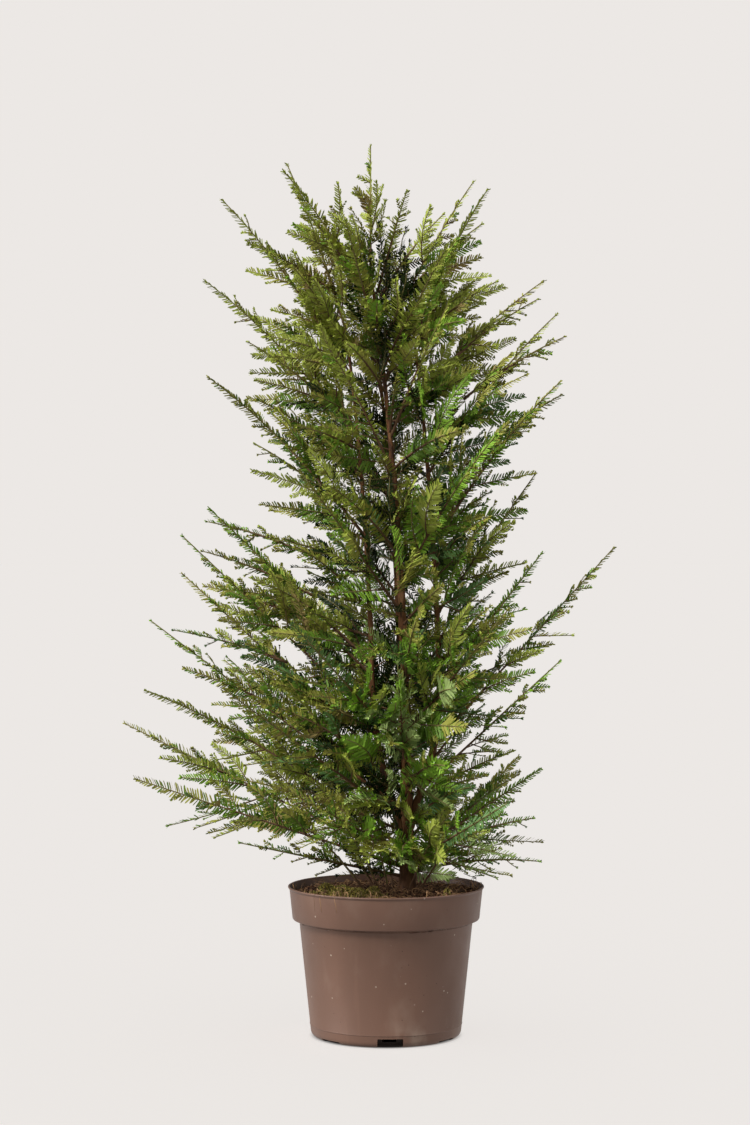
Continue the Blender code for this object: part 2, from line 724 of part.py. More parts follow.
def spray_count(shoot):
    """How many side sprays a shoot has. Their ranks run from 1 at its outer end, and rank 0 is its tip."""
    return max(3, round(line_length(shoot.line) * (SPRAY_END - SPRAY_START) / SPRAY_PITCH))


def make_foliage(shoots, neighbours, needles):
    """One solid for each shoot: its twig with every spray fused on that keeps clear of other nodes."""
    twigs = [limb_object(shoot.name, shoot_limb(shoot), needles, shoot.parent) for shoot in shoots]
    for twig in twigs:
        neighbours.add(twig.name, *mesh_parts(twig.data))
    blades = {shoot.name: [] for shoot in shoots}
    for rank in range(max(spray_count(shoot) for shoot in shoots) + 1):
        for shoot in shoots:
            spray = free_spray(shoot, rank, neighbours) if rank <= spray_count(shoot) else None
            if spray:
                points, faces = spray_blade(spray)
                neighbours.add(shoot.name, points, faces)
                blades[shoot.name].append(add_object("spray", mesh_from("spray", points, faces), needles))
    for twig in twigs:
        if blades[twig.name]:
            combine(twig, blades[twig.name], "UNION")


def main():
    for old in list(bpy.data.objects):
        bpy.data.objects.remove(old)
    plastic = material("pot_plastic", (0.19, 0.115, 0.088), 0.55)
    earth = material("potting_soil", (0.045, 0.026, 0.016), 0.95)
    bark = material("yew_bark", (0.17, 0.085, 0.045), 0.85)
    needles = material("yew_needles", (0.075, 0.115, 0.022), 0.5)
    neighbours = Neighbours()
    for made in (make_pot(plastic), make_soil(earth)):
        neighbours.add(made.name, *mesh_parts(made.data))
    trunk = trunk_limb()
    limbs = {"trunk": trunk, **{stem.name: stem_limb(stem, trunk) for stem in STEMS}}
    boughs, shoots = plan_branches(limbs)
    limb_object("trunk", trunk, bark)
    for stem in STEMS:
        limb_object(stem.name, limbs[stem.name], bark, trunk)
    for name, (limb, parent) in boughs.items():
        limb_object(name, limb, bark, parent)
    for made in list(bpy.context.scene.collection.objects):
        if made.name not in ("pot", "soil"):
            neighbours.add(made.name, *mesh_parts(made.data))
    make_foliage(shoots, neighbours, needles)
    for made in bpy.context.scene.collection.objects:
        if made.name in ("pot", "soil", "trunk") or made.name.startswith(("stem", "bough")):
            made.data.shade_smooth()
            made.data.set_sharp_from_angle(angle=math.radians(CREASE_ANGLE))


main()
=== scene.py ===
"""The looks of a potted yew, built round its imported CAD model.

Metres, +Z up. The origin is the middle of the pot's underside, and the plant is seen from -Y in front.
"""

import functools
import math
import random
from typing import NamedTuple

import bmesh
import bpy
import numpy as np
from bpy.props import FloatProperty, FloatVectorProperty, IntProperty, PointerProperty
from mathutils import Matrix, Vector, noise


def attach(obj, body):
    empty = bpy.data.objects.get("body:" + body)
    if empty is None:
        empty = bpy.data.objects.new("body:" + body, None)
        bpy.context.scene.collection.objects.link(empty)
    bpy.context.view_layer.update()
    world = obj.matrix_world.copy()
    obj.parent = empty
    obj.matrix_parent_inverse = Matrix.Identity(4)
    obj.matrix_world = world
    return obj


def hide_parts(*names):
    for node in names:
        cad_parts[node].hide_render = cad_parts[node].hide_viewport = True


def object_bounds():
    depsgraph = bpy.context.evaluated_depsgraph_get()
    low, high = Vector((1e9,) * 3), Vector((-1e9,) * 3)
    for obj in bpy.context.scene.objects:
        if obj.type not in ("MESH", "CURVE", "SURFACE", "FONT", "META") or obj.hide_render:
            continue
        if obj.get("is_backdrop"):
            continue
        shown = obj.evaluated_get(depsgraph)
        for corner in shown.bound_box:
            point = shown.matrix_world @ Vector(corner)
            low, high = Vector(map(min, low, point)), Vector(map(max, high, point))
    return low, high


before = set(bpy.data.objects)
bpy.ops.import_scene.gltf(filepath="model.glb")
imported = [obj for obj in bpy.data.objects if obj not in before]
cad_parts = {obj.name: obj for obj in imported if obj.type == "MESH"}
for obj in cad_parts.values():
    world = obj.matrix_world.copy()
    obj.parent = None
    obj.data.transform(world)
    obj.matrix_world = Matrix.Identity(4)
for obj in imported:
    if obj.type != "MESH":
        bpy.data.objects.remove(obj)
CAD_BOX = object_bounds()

bl_info = {
    "name": "Potted yew",
    "version": (1, 0, 0),
    "blender": (4, 5, 0),
    "location": "3D View > Sidebar > Yew",
    "description": "Builds a young yew in a nursery pot round its CAD model",
    "category": "Object",
}

# Every random draw starts from this seed
SEED = 41
CRUMB_SEED = SEED + 1
FIBRE_SEED = SEED + 2
MOSS_SEED = SEED + 3
NEEDLE_SEED = SEED * 10
SWAY_SEED = SEED * 100
BRANCH_SEED = SEED * 1000
TOP_SEED = SEED * 2000
LEADER_SEED = SEED * 3000
CORE_SEED = SEED * 5000
INNER_SEED = SEED * 6000
INNER_TWIGS_SEED = SEED * 7000
MORE_TWIGS_SEED = SEED * 7500
SOIL_SHOOT_SEED = SEED * 8000

# The gap below the trunk's foot, and how near points are one point or heights one height
CLEARANCE = 0.0003
MERGE_WITHIN = 1e-6
LEVEL_WITHIN = 1e-5

# The pot and its soil, as in the part's source
POT_HEIGHT = 0.213
RIM_RADIUS = 0.140
RIM_FOOT_RADIUS = 0.1335
RIM_BAND_HEIGHT = 0.047
LIP_FLARE = 0.0018
LIP_HEIGHT = 0.004
BODY_TOP_RADIUS = 0.1235
STEP_DROP = 0.005
BODY_FOOT_RADIUS = 0.1075
FOOT_ROUNDING = 0.009
WALL = 0.002
DRAIN_COUNT = 7
DRAIN_FIRST_AZIMUTH = -87.0
DRAIN_WIDTH = 0.036
DRAIN_HEIGHT = 0.013
DRAIN_LOW_HEIGHT = 0.0045
DRAIN_TALL = (0, 3, 4)
DRAIN_DEPTH = 0.026
DRAIN_SLOT_WIDTH = 0.020
DRAIN_SLOT_HEIGHT = 0.006
SOIL_TOP = 0.199
SOIL_MOUND = 0.004
MOUND_FALLS_BY = 0.3
MOUND_FALLS_WITHIN = 0.55

# The pot's finer profile. Points of the rim band's foot: how far inside its radius, and how far above
BAND_FOOT = ((0.0026, -0.0002), (0.0009, 0.0003), (0.0, 0.0018))
# Points of the lip: how far inside the rim's radius, and how far below the pot's top
LIP = (
    (LIP_FLARE + 0.0004, LIP_HEIGHT + 0.0006),
    (0.0008, LIP_HEIGHT * 0.72),
    (0.0, LIP_HEIGHT * 0.40),
    (0.0003, 0.0004),
    (0.0010, 0.0),
)
LIP_INSIDE = ((0.0006, 0.0003), (0.0012, 0.0012))
STEP_FLARE = 0.0016
STEP_FLARE_SHARE = 0.45
BAND_INSIDE_RISE = 0.001
RIDGE_ABOVE_DRAIN = 0.0045
RIDGE_OUT = 0.0005
RIDGE_HALF = 0.0004
RIDGE_FOOT = 0.0012
RIDGE_TOP = 0.0016
WAIST = 0.09
FOOT_STEPS = 6
LIMIT_SIDES = 96
CUT_OVERREACH = 0.01
RECESS_ROUNDING = 0.0012
SLOT_ROUNDING = 0.0008
SHARP_FROM = 32.0

# The soil's body, from its floor up to where the rim band widens
SOIL_FLOOR = 0.020
SOIL_FLOOR_RADIUS = 0.102
SOIL_GAP = 0.0006
SOIL_EDGE_GAP = 0.0008
SOIL_STEP_FOOT = 0.160
SOIL_STEP_TOP = 0.1675
SOIL_BAND_FOOT = 0.167
SOIL_RINGS = 62
SOIL_SIDES = 168
# Its surface: how far it stands above the part's, its share of the mound, and how far out that falls
SOIL_LIFT = 0.003
MOUND_SHARE = 0.8
MOUND_RADIUS = 0.13
# The scale and height of its lumps and of its crumbs
SOIL_LUMPS = ((45.0, 0.0026), (130.0, 0.0016))
SOIL_CRUMBS = ((340.0, 0.0009), (800.0, 0.0004))

# The trunk and stems, as in the part's source
TRUNK_FOOT_X = 0.030
TRUNK_LEAN = -0.052
TRUNK_LEAN_POWER = 2.5
TRUNK_TOP = 1.090
TRUNK_RADIUS = 0.0105
TRUNK_TIP_RADIUS = 0.0020
FLARE = 0.0070
FLARE_HEIGHT = 0.014
FLARE_LOBES = 3
FLARE_LOBING = 0.35
FLARE_TURN = 0.6
TRUNK_RINGS = 13
TRUNK_RINGS_POWER = 1.6
TRUNK_TAPER_POWER = 0.75
STEM_RINGS = 9
STEM_RINGS_POWER = 1.25
STEM_RADIUS = 0.0062
STEM_TIP_RADIUS = 0.0019
STEM_SPREADS_BY = 0.40
STEM_HEAD_START = 0.08
BOUGH_RADIUS = 0.0038
BOUGH_TIP_RADIUS = 0.0018
CHILD_SHARE = 0.75
SHOOT_FOOT_RADIUS = 0.0026
SHOOT_TIP_RADIUS = 0.0007
ARCH = 0.10
ARCH_FROM = 0.60
LEVEL_RISE = 0.03
SWAY = 0.03
LINE_STEPS = 20
LEADER_TIP = 1.268


class Branch(NamedTuple):
    """One bough or shoot: where it leaves its stem, and how far out and how high its tip is."""

    name: str
    stem: str
    leaves_at: float
    azimuth: float
    reach: float
    tip_height: float
    bare: float


class Stem(NamedTuple):
    """One upright stem: where it forks from the trunk, its distance from the trunk, and its tip."""

    name: str
    forks_at: float
    azimuth: float
    offset: float
    top: float
    tip_azimuth: float
    tip_reach: float
    tip_height: float


# Azimuth 0 is to the right, 90 to the back, 180 to the left and -90 to the front
STEMS = (
    Stem("stem_left", 0.262, 184.0, 0.046, 1.000, 176.0, 0.085, 1.242),
    Stem("stem_right", 0.285, 4.0, 0.050, 1.000, -4.0, 0.105, 1.206),
    Stem("stem_back", 0.308, 96.0, 0.050, 0.970, 70.0, 0.070, 1.165),
)

# The boughs and shoots, as in the part's source
BRANCH_ROWS = (
    ("left_low", "trunk", 0.225, 190.0, 0.240, 0.278, 0.0),
    ("left_wide_low", "trunk", 0.238, 200.0, 0.400, 0.377, 0.26),
    ("left_wide", "trunk", 0.246, 170.0, 0.418, 0.440, 0.26),
    ("left_inner_front", "stem_left", 0.312, 214.0, 0.285, 0.500, 0.0),
    ("left_inner_back", "stem_left", 0.350, 154.0, 0.270, 0.530, 0.0),
    ("left_fan", "stem_left", 0.330, 187.0, 0.345, 0.592, 0.22),
    ("left_mid_low", "stem_left", 0.395, 172.0, 0.290, 0.659, 0.0),
    ("left_mid", "stem_left", 0.450, 192.0, 0.278, 0.712, 0.20),
    ("left_mid_high", "stem_left", 0.530, 174.0, 0.235, 0.752, 0.0),
    ("left_upper_low", "stem_left", 0.710, 184.0, 0.225, 0.938, 0.0),
    ("left_upper", "stem_left", 0.850, 176.0, 0.220, 1.078, 0.0),
    ("left_high", "stem_left", 0.940, 188.0, 0.185, 1.188, 0.0),
    ("left_top", "trunk", 1.030, 194.0, 0.135, 1.228, 0.0),
    ("right_low", "trunk", 0.230, -8.0, 0.190, 0.250, 0.0),
    ("right_wide_low", "trunk", 0.252, 14.0, 0.200, 0.375, 0.0),
    ("right_wide", "stem_right", 0.350, -12.0, 0.200, 0.535, 0.22),
    ("right_far", "stem_right", 0.415, 6.0, 0.262, 0.696, 0.22),
    ("right_mid", "stem_right", 0.500, -16.0, 0.150, 0.688, 0.0),
    ("right_mid_high", "stem_right", 0.600, 10.0, 0.145, 0.802, 0.0),
    ("right_upper_low", "stem_right", 0.700, -10.0, 0.182, 0.930, 0.0),
    ("right_upper", "stem_right", 0.800, 8.0, 0.188, 1.032, 0.0),
    ("right_high", "trunk", 0.980, -12.0, 0.135, 1.215, 0.0),
    ("front_low_left", "trunk", 0.256, -128.0, 0.270, 0.370, 0.20),
    ("front_low_right", "trunk", 0.244, -56.0, 0.240, 0.350, 0.0),
    ("front_shoot", "trunk", 0.290, -97.0, 0.120, 0.535, 0.42),
    ("front_mid_left", "trunk", 0.400, -136.0, 0.220, 0.590, 0.0),
    ("front_mid_right", "trunk", 0.430, -46.0, 0.200, 0.610, 0.0),
    ("front_upper_left", "trunk", 0.600, -140.0, 0.185, 0.800, 0.0),
    ("front_upper_right", "trunk", 0.640, -42.0, 0.175, 0.850, 0.0),
    ("front_high_left", "trunk", 0.800, -128.0, 0.165, 0.990, 0.0),
    ("front_high_right", "trunk", 0.850, -58.0, 0.150, 1.030, 0.0),
    ("front_top_left", "trunk", 0.960, -118.0, 0.110, 1.150, 0.0),
    ("front_top_right", "trunk", 0.930, -36.0, 0.110, 1.120, 0.0),
    ("back_low_left", "trunk", 0.262, 138.0, 0.320, 0.410, 0.22),
    ("back_low_right", "trunk", 0.236, 52.0, 0.280, 0.380, 0.22),
    ("back_mid_left", "stem_back", 0.430, 128.0, 0.240, 0.640, 0.0),
    ("back_mid_right", "stem_back", 0.470, 50.0, 0.220, 0.670, 0.0),
    ("back_upper", "stem_back", 0.650, 84.0, 0.180, 0.870, 0.0),
    ("back_high_left", "stem_back", 0.760, 140.0, 0.180, 0.990, 0.0),
    ("back_high_right", "stem_back", 0.860, 20.0, 0.250, 1.092, 0.0),
)
BRANCHES = tuple(Branch(*row) for row in BRANCH_ROWS)

UP = np.array((0.0, 0.0, 1.0))
UPRIGHT = 0.9999
STEEP = 0.9
GOLDEN_ANGLE = 137.508

# From here on a pair of numbers is the two ends of a range where its comment says nothing else,
# angles are in degrees, and the feet and tips of twigs are radii.

# Side shoots, by the source's rule but closer together. Two of three are long in the lower part of a branch
SIDE_START = 0.05
SIDE_END = 0.84
SIDE_FEWEST = 6
SIDE_SPACING = (0.2, 0.8)
SIDE_SHARE = 0.56
SIDE_LONGEST = 0.155
SIDE_SHORTEST = 0.014
ANGLE_LOW = 55.0
ANGLE_HIGH = 34.0
ANGLE_SPREAD = 8.0
ANGLE_SHORT_MORE = 14
LIFT = 65.0
LONG_END = 0.50
LONG_REACH = 1.12
LONG_FALL = 1.20
LONG_VARIES = (0.72, 1.15)
SHORT_REACH = 0.046
SHORT_FALL = 0.038
SHORT_VARIES = (0.7, 1.3)
# They bend outwards from the trunk, along the branch and down, by shares of their own direction
BEND_OUT = 0.9
BEND_ON = 0.3
BEND_DOWN = 0.25
BEND_VARIES = (0.35, 1.0)
SHOOT_STEPS = 8
SHOOT_BARE = 0.06
SHOOT_FOOT = 0.0007
SHOOT_FOOT_MORE = 0.0006
SHOOT_FOOT_REACH = 0.12
SHOOT_TIP = 0.0005
END_BARE = 0.22
END_TONE_FROM = -4
FACE_UP = 0.3
FACE_OUT = 0.6
FACE_TURN = 50.0

# Fine twigs on the side shoots
FINE_START = 0.12
FINE_END = 0.62
FINE_FEWEST = 2
FINE_SPACING = (0.25, 0.75)
FINE_FROM = 0.060
FINE_SHARE = 0.36
FINE_REACH = 1.08
FINE_FALL = 1.05
FINE_VARIES = (0.7, 1.2)
FINE_LONGEST = 0.044
FINE_SHORTEST = 0.014
FINE_ANGLE = 50
FINE_ANGLE_FALL = 14
FINE_ANGLE_SPREAD = (-6, 6)
FINE_RAISED = (-15, 30)
FINE_RISE = 0.3
FINE_BEND = (0.1, 0.4)
FINE_TURN = (-18, 18)
FINE_STEPS = 4
FINE_OWN_TONE = 0.12
FINE_BARE = 0.05
FINE_FOOT = 0.0006
FINE_TIP = 0.0004

# Inner shoots along each limb: the lowest and highest, and their number
CORE = {
    "trunk": (0.234, 1.060, 92),
    "stem_left": (0.300, 1.000, 62),
    "stem_right": (0.320, 1.000, 62),
    "stem_back": (0.340, 0.960, 70),
}
# The reach of the crown by height: to the left, to the right, and to the front and back
REACH_HEIGHTS = (0.22, 0.30, 0.40, 0.55, 0.68, 0.78, 0.92, 1.03, 1.12, 1.20, 1.26)
REACH_LEFT = (0.13, 0.25, 0.32, 0.27, 0.22, 0.21, 0.22, 0.22, 0.18, 0.15, 0.02)
REACH_RIGHT = (0.17, 0.18, 0.20, 0.18, 0.18, 0.18, 0.20, 0.22, 0.17, 0.14, 0.02)
REACH_DEPTH = (0.18, 0.21, 0.21, 0.20, 0.18, 0.16, 0.15, 0.13, 0.11, 0.08, 0.02)
# The parts of the crown: its inside, its top, its back and its sides, and where its low part ends
INSIDE_SHARE = 0.40
INSIDE_MOST = 0.056
INSIDE_TOP = 1.12
CROWN_FROM = 0.93
BACK_FROM = 0.07
LEFT_FROM = -0.045
RIGHT_FROM = 0.085
LOW_UNTIL = 0.58
RIGHT_LOW_UNTIL = 0.45

# The inner shoots: how steeply they rise, their reach, how far they bend up, their foot and their bare share
CORE_RISE = (10, 50)
CORE_REACH = (0.045, 0.105)
CORE_BEND = (0.0, 0.4)
CORE_FOOT = 0.0011
CORE_BARE = 0.12

# Branches between those of the table. The low ones leave the trunk, and the others the nearest limb
INNER_BRANCHES = 78
INNER_LOWEST = 0.235
INNER_SPAN = 0.850
INNER_TRUNK_UNTIL = 0.36
INNER_BELOW_TOP = 0.01
INNER_RISE = (-4, 30)
INNER_RISE_MORE = 14
INNER_HIGHEST = 1.22
INNER_LOOKS_UP = 0.1
INNER_RUN = 0.8
INNER_REACH = (0.60, 0.94)
INNER_FOLLOWS = 0.3
INNER_ARCH = (0.04, 0.16)
INNER_SWAY = 0.05
INNER_FOOT = 0.0022

# Thin shoots that rise bare from the soil, and fresh sprays round the trunk's foot
SOIL_SHOOTS = 11
SOIL_SHOOT_TURN = (-14, 14)
SOIL_SHOOT_RING = (0.018, 0.045)
SOIL_SHOOT_DEPTH = 0.004
SOIL_SHOOT_RISE = (1.0, 2.2)
SOIL_SHOOT_LATER_RISE = 0.25
SOIL_SHOOT_REACH = (0.11, 0.17)
SOIL_SHOOT_BEND = (0.5, 1.2)
SOIL_SHOOT_STEPS = 10
SOIL_SHOOT_MIDDLE = 6
SOIL_SHOOT_FOOT = 0.0019
SOIL_SHOOT_TIP = 0.0006
SOIL_SHOOT_BARE = 0.50
SOIL_SHOOT_FINE_FROM = 0.245
FOOT_SPRAYS = 9
FOOT_SPRAY_LOWEST = 0.228
FOOT_SPRAY_SPAN = 0.030
FOOT_SPRAY_FROM = -165
FOOT_SPRAY_ARC = 150
FOOT_SPRAY_RISE = (14, 38)
FOOT_SPRAY_REACH = (0.060, 0.090)
FOOT_SPRAY_BEND = (0.0, 0.3)
FOOT_SPRAY_BARE = 0.30

# How far twigs keep from the pot
POT_CLEAR = 0.022
# More branches than the table's, whose tips show beside the main ones
MORE_ROWS = (
    ("trunk", 0.262, 183.0, 0.372, 0.492, 0.34),
    ("stem_left", 0.370, 176.0, 0.290, 0.522, 0.40),
    ("stem_left", 0.470, 184.0, 0.285, 0.578, 0.45),
    ("stem_left", 0.540, 170.0, 0.245, 0.640, 0.40),
    ("stem_left", 0.575, 188.0, 0.240, 0.690, 0.35),
    ("stem_left", 0.640, 174.0, 0.235, 0.733, 0.35),
    ("stem_left", 0.720, 166.0, 0.165, 0.846, 0.20),
    ("stem_left", 0.800, 190.0, 0.150, 0.905, 0.20),
    ("stem_left", 0.860, 196.0, 0.160, 0.985, 0.20),
    ("trunk", 1.010, 182.0, 0.185, 1.130, 0.25),
    ("trunk", 1.010, 8.0, 0.150, 1.160, 0.20),
    ("stem_right", 0.920, 4.0, 0.170, 1.052, 0.30),
    ("stem_right", 0.860, -6.0, 0.200, 0.995, 0.30),
    ("stem_right", 0.760, 6.0, 0.190, 0.915, 0.30),
    ("trunk", 0.245, -4.0, 0.180, 0.310, 0.40),
    ("trunk", 1.045, -62.0, 0.095, 1.192, 0.10),
    ("trunk", 1.050, 118.0, 0.100, 1.186, 0.10),
    ("trunk", 1.030, -148.0, 0.120, 1.168, 0.10),
    ("trunk", 1.040, 30.0, 0.115, 1.180, 0.10),
)
MORE_BRANCHES = tuple(Branch("inner", *row) for row in MORE_ROWS)
# How long the side shoots of some branches are beside the others'
FULLNESS = {
    "right_far": 0.50,
    "right_wide": 0.60,
    "left_fan": 0.65,
    "left_mid_low": 0.70,
    "left_inner_front": 0.75,
    "left_inner_back": 0.75,
    "left_wide_low": 0.70,
    "left_low": 0.65,
    "left_high": 0.75,
    "left_upper": 0.75,
}
MORE_FULLNESS = 0.62
MORE_ARCH = 0.10
MORE_SWAY = 0.02
LIMB_AZIMUTHS = {"trunk": -90.0, **{stem.name: stem.azimuth for stem in STEMS}}
# Where the stems show in front: the left, right, lower and upper edge of each opening
OPENINGS = ((-0.036, 0.026, 0.800, 0.962), (-0.020, 0.034, 0.615, 0.735))
OPENING_BACK = 0.012

# Tones of needles, in the order of their colours in the settings
TONES = (
    "olive",
    "yellow_green",
    "mid_green",
    "deep_green",
    "blue_green",
    "fresh_green",
    "bronze",
    "pale_green",
)
OLIVE, YELLOW, MID, DEEP, BLUE, FRESH, _, PALE = range(len(TONES))
# The tone of the young needles near the tip of a twig, for each tone of twig
YOUNGER = (YELLOW, YELLOW, OLIVE, DEEP, BLUE, FRESH, OLIVE, PALE)

# Beyond this distance from the middle a spray is in the light, and never takes the deep green of painted
# shade
OUTER_FROM = 0.125

# How the sprays of each part of the crown share the tones out. Part of this is painted light: deep green is
# painted shade near the crown's middle, olive the light on its top and left, and blue green the cool shade on
# its right.
MIXES = {
    "crown": (0.33, 0.43, 0.08, 0.00, 0.00, 0.09, 0.07),
    "left_mid": (0.24, 0.14, 0.30, 0.20, 0.04, 0.07, 0.03),
    "left_low": (0.24, 0.09, 0.30, 0.18, 0.08, 0.05, 0.07),
    "centre_mid": (0.23, 0.19, 0.25, 0.20, 0.00, 0.12, 0.02),
    "centre_low": (0.08, 0.26, 0.08, 0.00, 0.02, 0.34, 0.02, 0.20),
    "right_mid": (0.05, 0.14, 0.34, 0.14, 0.13, 0.20, 0.00),
    "right_low": (0.05, 0.16, 0.16, 0.04, 0.24, 0.19, 0.00, 0.16),
    "back": (0.14, 0.06, 0.36, 0.36, 0.08, 0.00, 0.00),
    "inside": (0.02, 0.00, 0.20, 0.76, 0.02, 0.00, 0.00),
}

# How long needles are in each part of the crown, and how much of each twig is bare
SPRAYS = {
    "crown": (0.86, 0.0),
    "left_mid": (0.74, 0.0),
    "left_low": (0.70, 0.16),
    "centre_mid": (1.00, 0.0),
    "centre_low": (1.00, 0.0),
    "right_mid": (0.80, 0.0),
    "right_low": (0.66, 0.34),
    "back": (0.80, 0.0),
    "inside": (0.80, 0.0),
}
# How long they are on each order of twig
ORDER_SIZES = (0.92, 1.0, 0.74)

# Needles along a twig: they are smaller on short twigs and larger in front
NEEDLE_FEWEST = 3
NEEDLE_SPACING = (0.2, 0.8)
SHORT_TWIG_SIZE = 0.60
FULL_SIZE_REACH = 0.10
FRONT_SIZE = 0.28
FRONT_FROM = 0.05
FRONT_OVER = 0.06
# They lean on and rise towards the twig's ending, and roll a little about their own length
ENDING_REACH = 0.080
LEAN = 63.0
LEAN_ENDING = 20.0
LEAN_VARIES = 5.0
RAISED = 14.0
RAISED_ENDING = 22.0
RAISED_VARIES = 8.0
ROLL_VARIES = 0.40
ROLL_SIDE = 0.25
# Their length starts at one share and grows fast to the full one, and falls again in the ending
START_LENGTH = 0.60
START_GROWTH = 2.4
ENDING_SHRINK = 0.60
ENDING_POWER = 1.3
LENGTH_VARIES = (0.88, 1.08)
WIDTH_FIXED = 0.65
WIDTH_GROWS = 0.35
WIDTH_VARIES = (0.9, 1.1)
YOUNG_FROM = 0.62
YOUNG_CHANCE = 0.85
# The tuft at the twig's tip
TUFT_NEEDLES = 5
TUFT_DEPTH = 0.02
TUFT_LEAN = (18.0, 50.0)
TUFT_LENGTH = (0.22, 0.36)
TUFT_WIDTH = 0.8
# A needle's outline: share of its length, share of its half width, and how far it droops
NEEDLE_OUTLINE = np.array((
    (0.0, 0.0, 0.0),
    (0.16, 0.90, 0.0),
    (0.80, 0.86, 0.045),
    (1.0, 0.0, 0.075),
    (0.80, -0.86, 0.045),
    (0.16, -0.90, 0.0),
))
NEEDLE_FACES = (np.array((0, 5, 1)), np.array((1, 5, 4, 2)), np.array((2, 4, 3)))
# For each order of twig: its rings, its sides, and the share of it that is old wood
TWIG_ORDERS = ((16, 5, 0.55), (6, 4, 0.35), (4, 3, 0.0))

# Crumbs on the soil
CRUMBS = 2600
CRUMB_RADIUS = 0.0011
CRUMB_VARIES = 0.45
CRUMB_LARGEST = 0.0034
CRUMB_STRETCH = (0.55, 1.35)
CRUMB_ROUGH = (0.72, 1.25)
CRUMB_SHARES = (0.55, 0.33, 0.12)
LITTER_RADIUS = 0.1335

# Fibres on the soil, some of them tilted up at one end
FIBRES = 620
FIBRE_STEPS = 6
FIBRE_SIDES = 4
FIBRE_SPREAD = 0.128
FIBRE_LENGTH = (0.006, 0.024)
FIBRE_CURL = 0.9
FIBRE_ARCH = (0.0006, 0.0060)
FIBRE_LIFT = 0.0004
TILTED_SHARE = 0.25
TILT = (0.2, 0.7)
FIBRE_RADIUS = (0.00025, 0.0006)
FIBRE_TAPER = 0.6
FIBRE_SHARES = (0.4, 0.35, 0.25)

# Roots beside the rim: those that hang over it, by azimuth, and the number that only stand
HANGING_ROOTS = (-126.0, -131.0, -121.0)
STANDING_ROOTS = 28
STANDING_ARC = (-200, 20)
ROOT_INSIDE = (0.008, 0.014)
# How far they reach out, rise and drop again
HANGING_SIZE = (0.026, 0.013, 0.026)
STANDING_SIZES = ((-0.006, 0.008), (0.008, 0.017), (0.0, 0.010))
ROOT_CURL = (-5, 5)
ROOT_VARIES = 1.5
ROOT_LIFT = 0.004
ROOT_OUT_BY = 1.7
ROOT_UP_BY = 1.6
ROOT_HEIGHT = 1.25

# Moss: the middle and radius of each clump, and its share of the blades
MOSS_BLADES = 5200
MOSS_MIDDLES = ((-0.062, -0.045), (-0.040, -0.070), (-0.085, -0.020), (-0.018, -0.062), (0.085, -0.070))
MOSS_RADII = (0.020, 0.018, 0.016, 0.012, 0.007)
MOSS_SHARES = (0.34, 0.28, 0.20, 0.13, 0.05)
MOSS_SPREAD = 0.62
MOSS_EDGE = 0.130
MOSS_MOUND = 0.0120
MOSS_LEAN = 0.55
MOSS_LENGTH = (0.002, 0.0048)
MOSS_WIDTH = 0.30
MOSS_TONES = (0.45, 0.35, 0.20)

# Bark: rings and sides of the trunk, the stems and the boughs, and the smaller ones' share of its relief
TRUNK_BARK_RINGS, TRUNK_BARK_SIDES = 420, 48
STEM_BARK_RINGS, STEM_BARK_SIDES, STEM_RELIEF = 300, 24, 0.5
BOUGH_BARK_RINGS, BOUGH_BARK_SIDES, BOUGH_RELIEF = 40, 14, 0.3
BOUGH_OVERLAP = 0.02
BOUGH_SHADE = 1.3
# Not quite upright, so that its cross product with an upright limb still has a direction
NEARLY_UP = UP + (0.001, 0.0, 0.0)
# How much higher each next limb of a piece takes its relief from, so that no two are alike
RELIEF_APART = 0.3
# Plates, cracks and knots: the scale of their noise round and along the limb, and their height
BARK_ROUND = 1000 / 7
PLATES_ROUND, PLATES_ALONG, PLATES_HEIGHT = 1.3, 42, 0.9
CRACKS_ROUND, CRACKS_ALONG, CRACKS_SHARP, CRACKS_DEPTH = 1.9, 26, 3.2, 0.8
KNOTS_ROUND, KNOTS_ALONG, KNOTS_FROM, KNOTS_HEIGHT = 0.5, 60, 0.35, 5
CRACKS_ASIDE, KNOTS_ASIDE = 7.0, 3.0

# The stage: the floor, the soft lamps and the camera
FLOOR_RADIUS = 900.0
FLOOR_SIDES = 96
FLOOR_SHADE = Vector((0.010, 0.008, 0.007))
SHADE_INSIDE = 0.014
SHADE_OUTSIDE = 0.004
LAMP_ANGLE = 25
CAMERA_PLACE = (-0.0157, -3.6, 0.674)
CAMERA_LENS = 80.64
CAMERA_SEES = 3000.0
# Each lamp's name, the setting of its strength, and its tilt and turn
LAMPS = (
    ("key", "key", 42.0, -44.0),
    ("left_light", "left", 74.0, -76.0),
    ("right_light", "right", 70.0, 74.0),
)

# The pieces that the crown's needles and twigs are joined into
GROUPS = {
    "left_low": ("left_low", "left_wide_low", "left_wide", "left_inner_front", "left_inner_back"),
    "left_mid": ("left_fan", "left_mid_low", "left_mid", "left_mid_high"),
    "left_high": ("left_upper_low", "left_upper", "left_high", "left_top", "top_left"),
    "right_low": ("right_low", "right_wide_low", "right_wide", "right_far", "right_mid"),
    "right_high": ("right_mid_high", "right_upper_low", "right_upper", "right_high", "top_right"),
    "front_low": ("front_low_left", "front_low_right", "front_shoot", "front_mid_left", "front_mid_right"),
    "front_high": (
        "front_upper_left",
        "front_upper_right",
        "front_high_left",
        "front_high_right",
        "front_top_left",
        "front_top_right",
        "leader",
    ),
    "back_low": ("back_low_left", "back_low_right", "back_mid_left", "back_mid_right"),
    "back_high": ("back_upper", "back_high_left", "back_high_right", "top_back"),
    "inner": ("inner",),
    "core": ("core",),
}


# Settings


def length(name, description, default):
    """A setting in metres."""
    text = {"name": name, "description": description}
    return FloatProperty(**text, default=default, min=0.0, subtype="DISTANCE", unit="LENGTH")


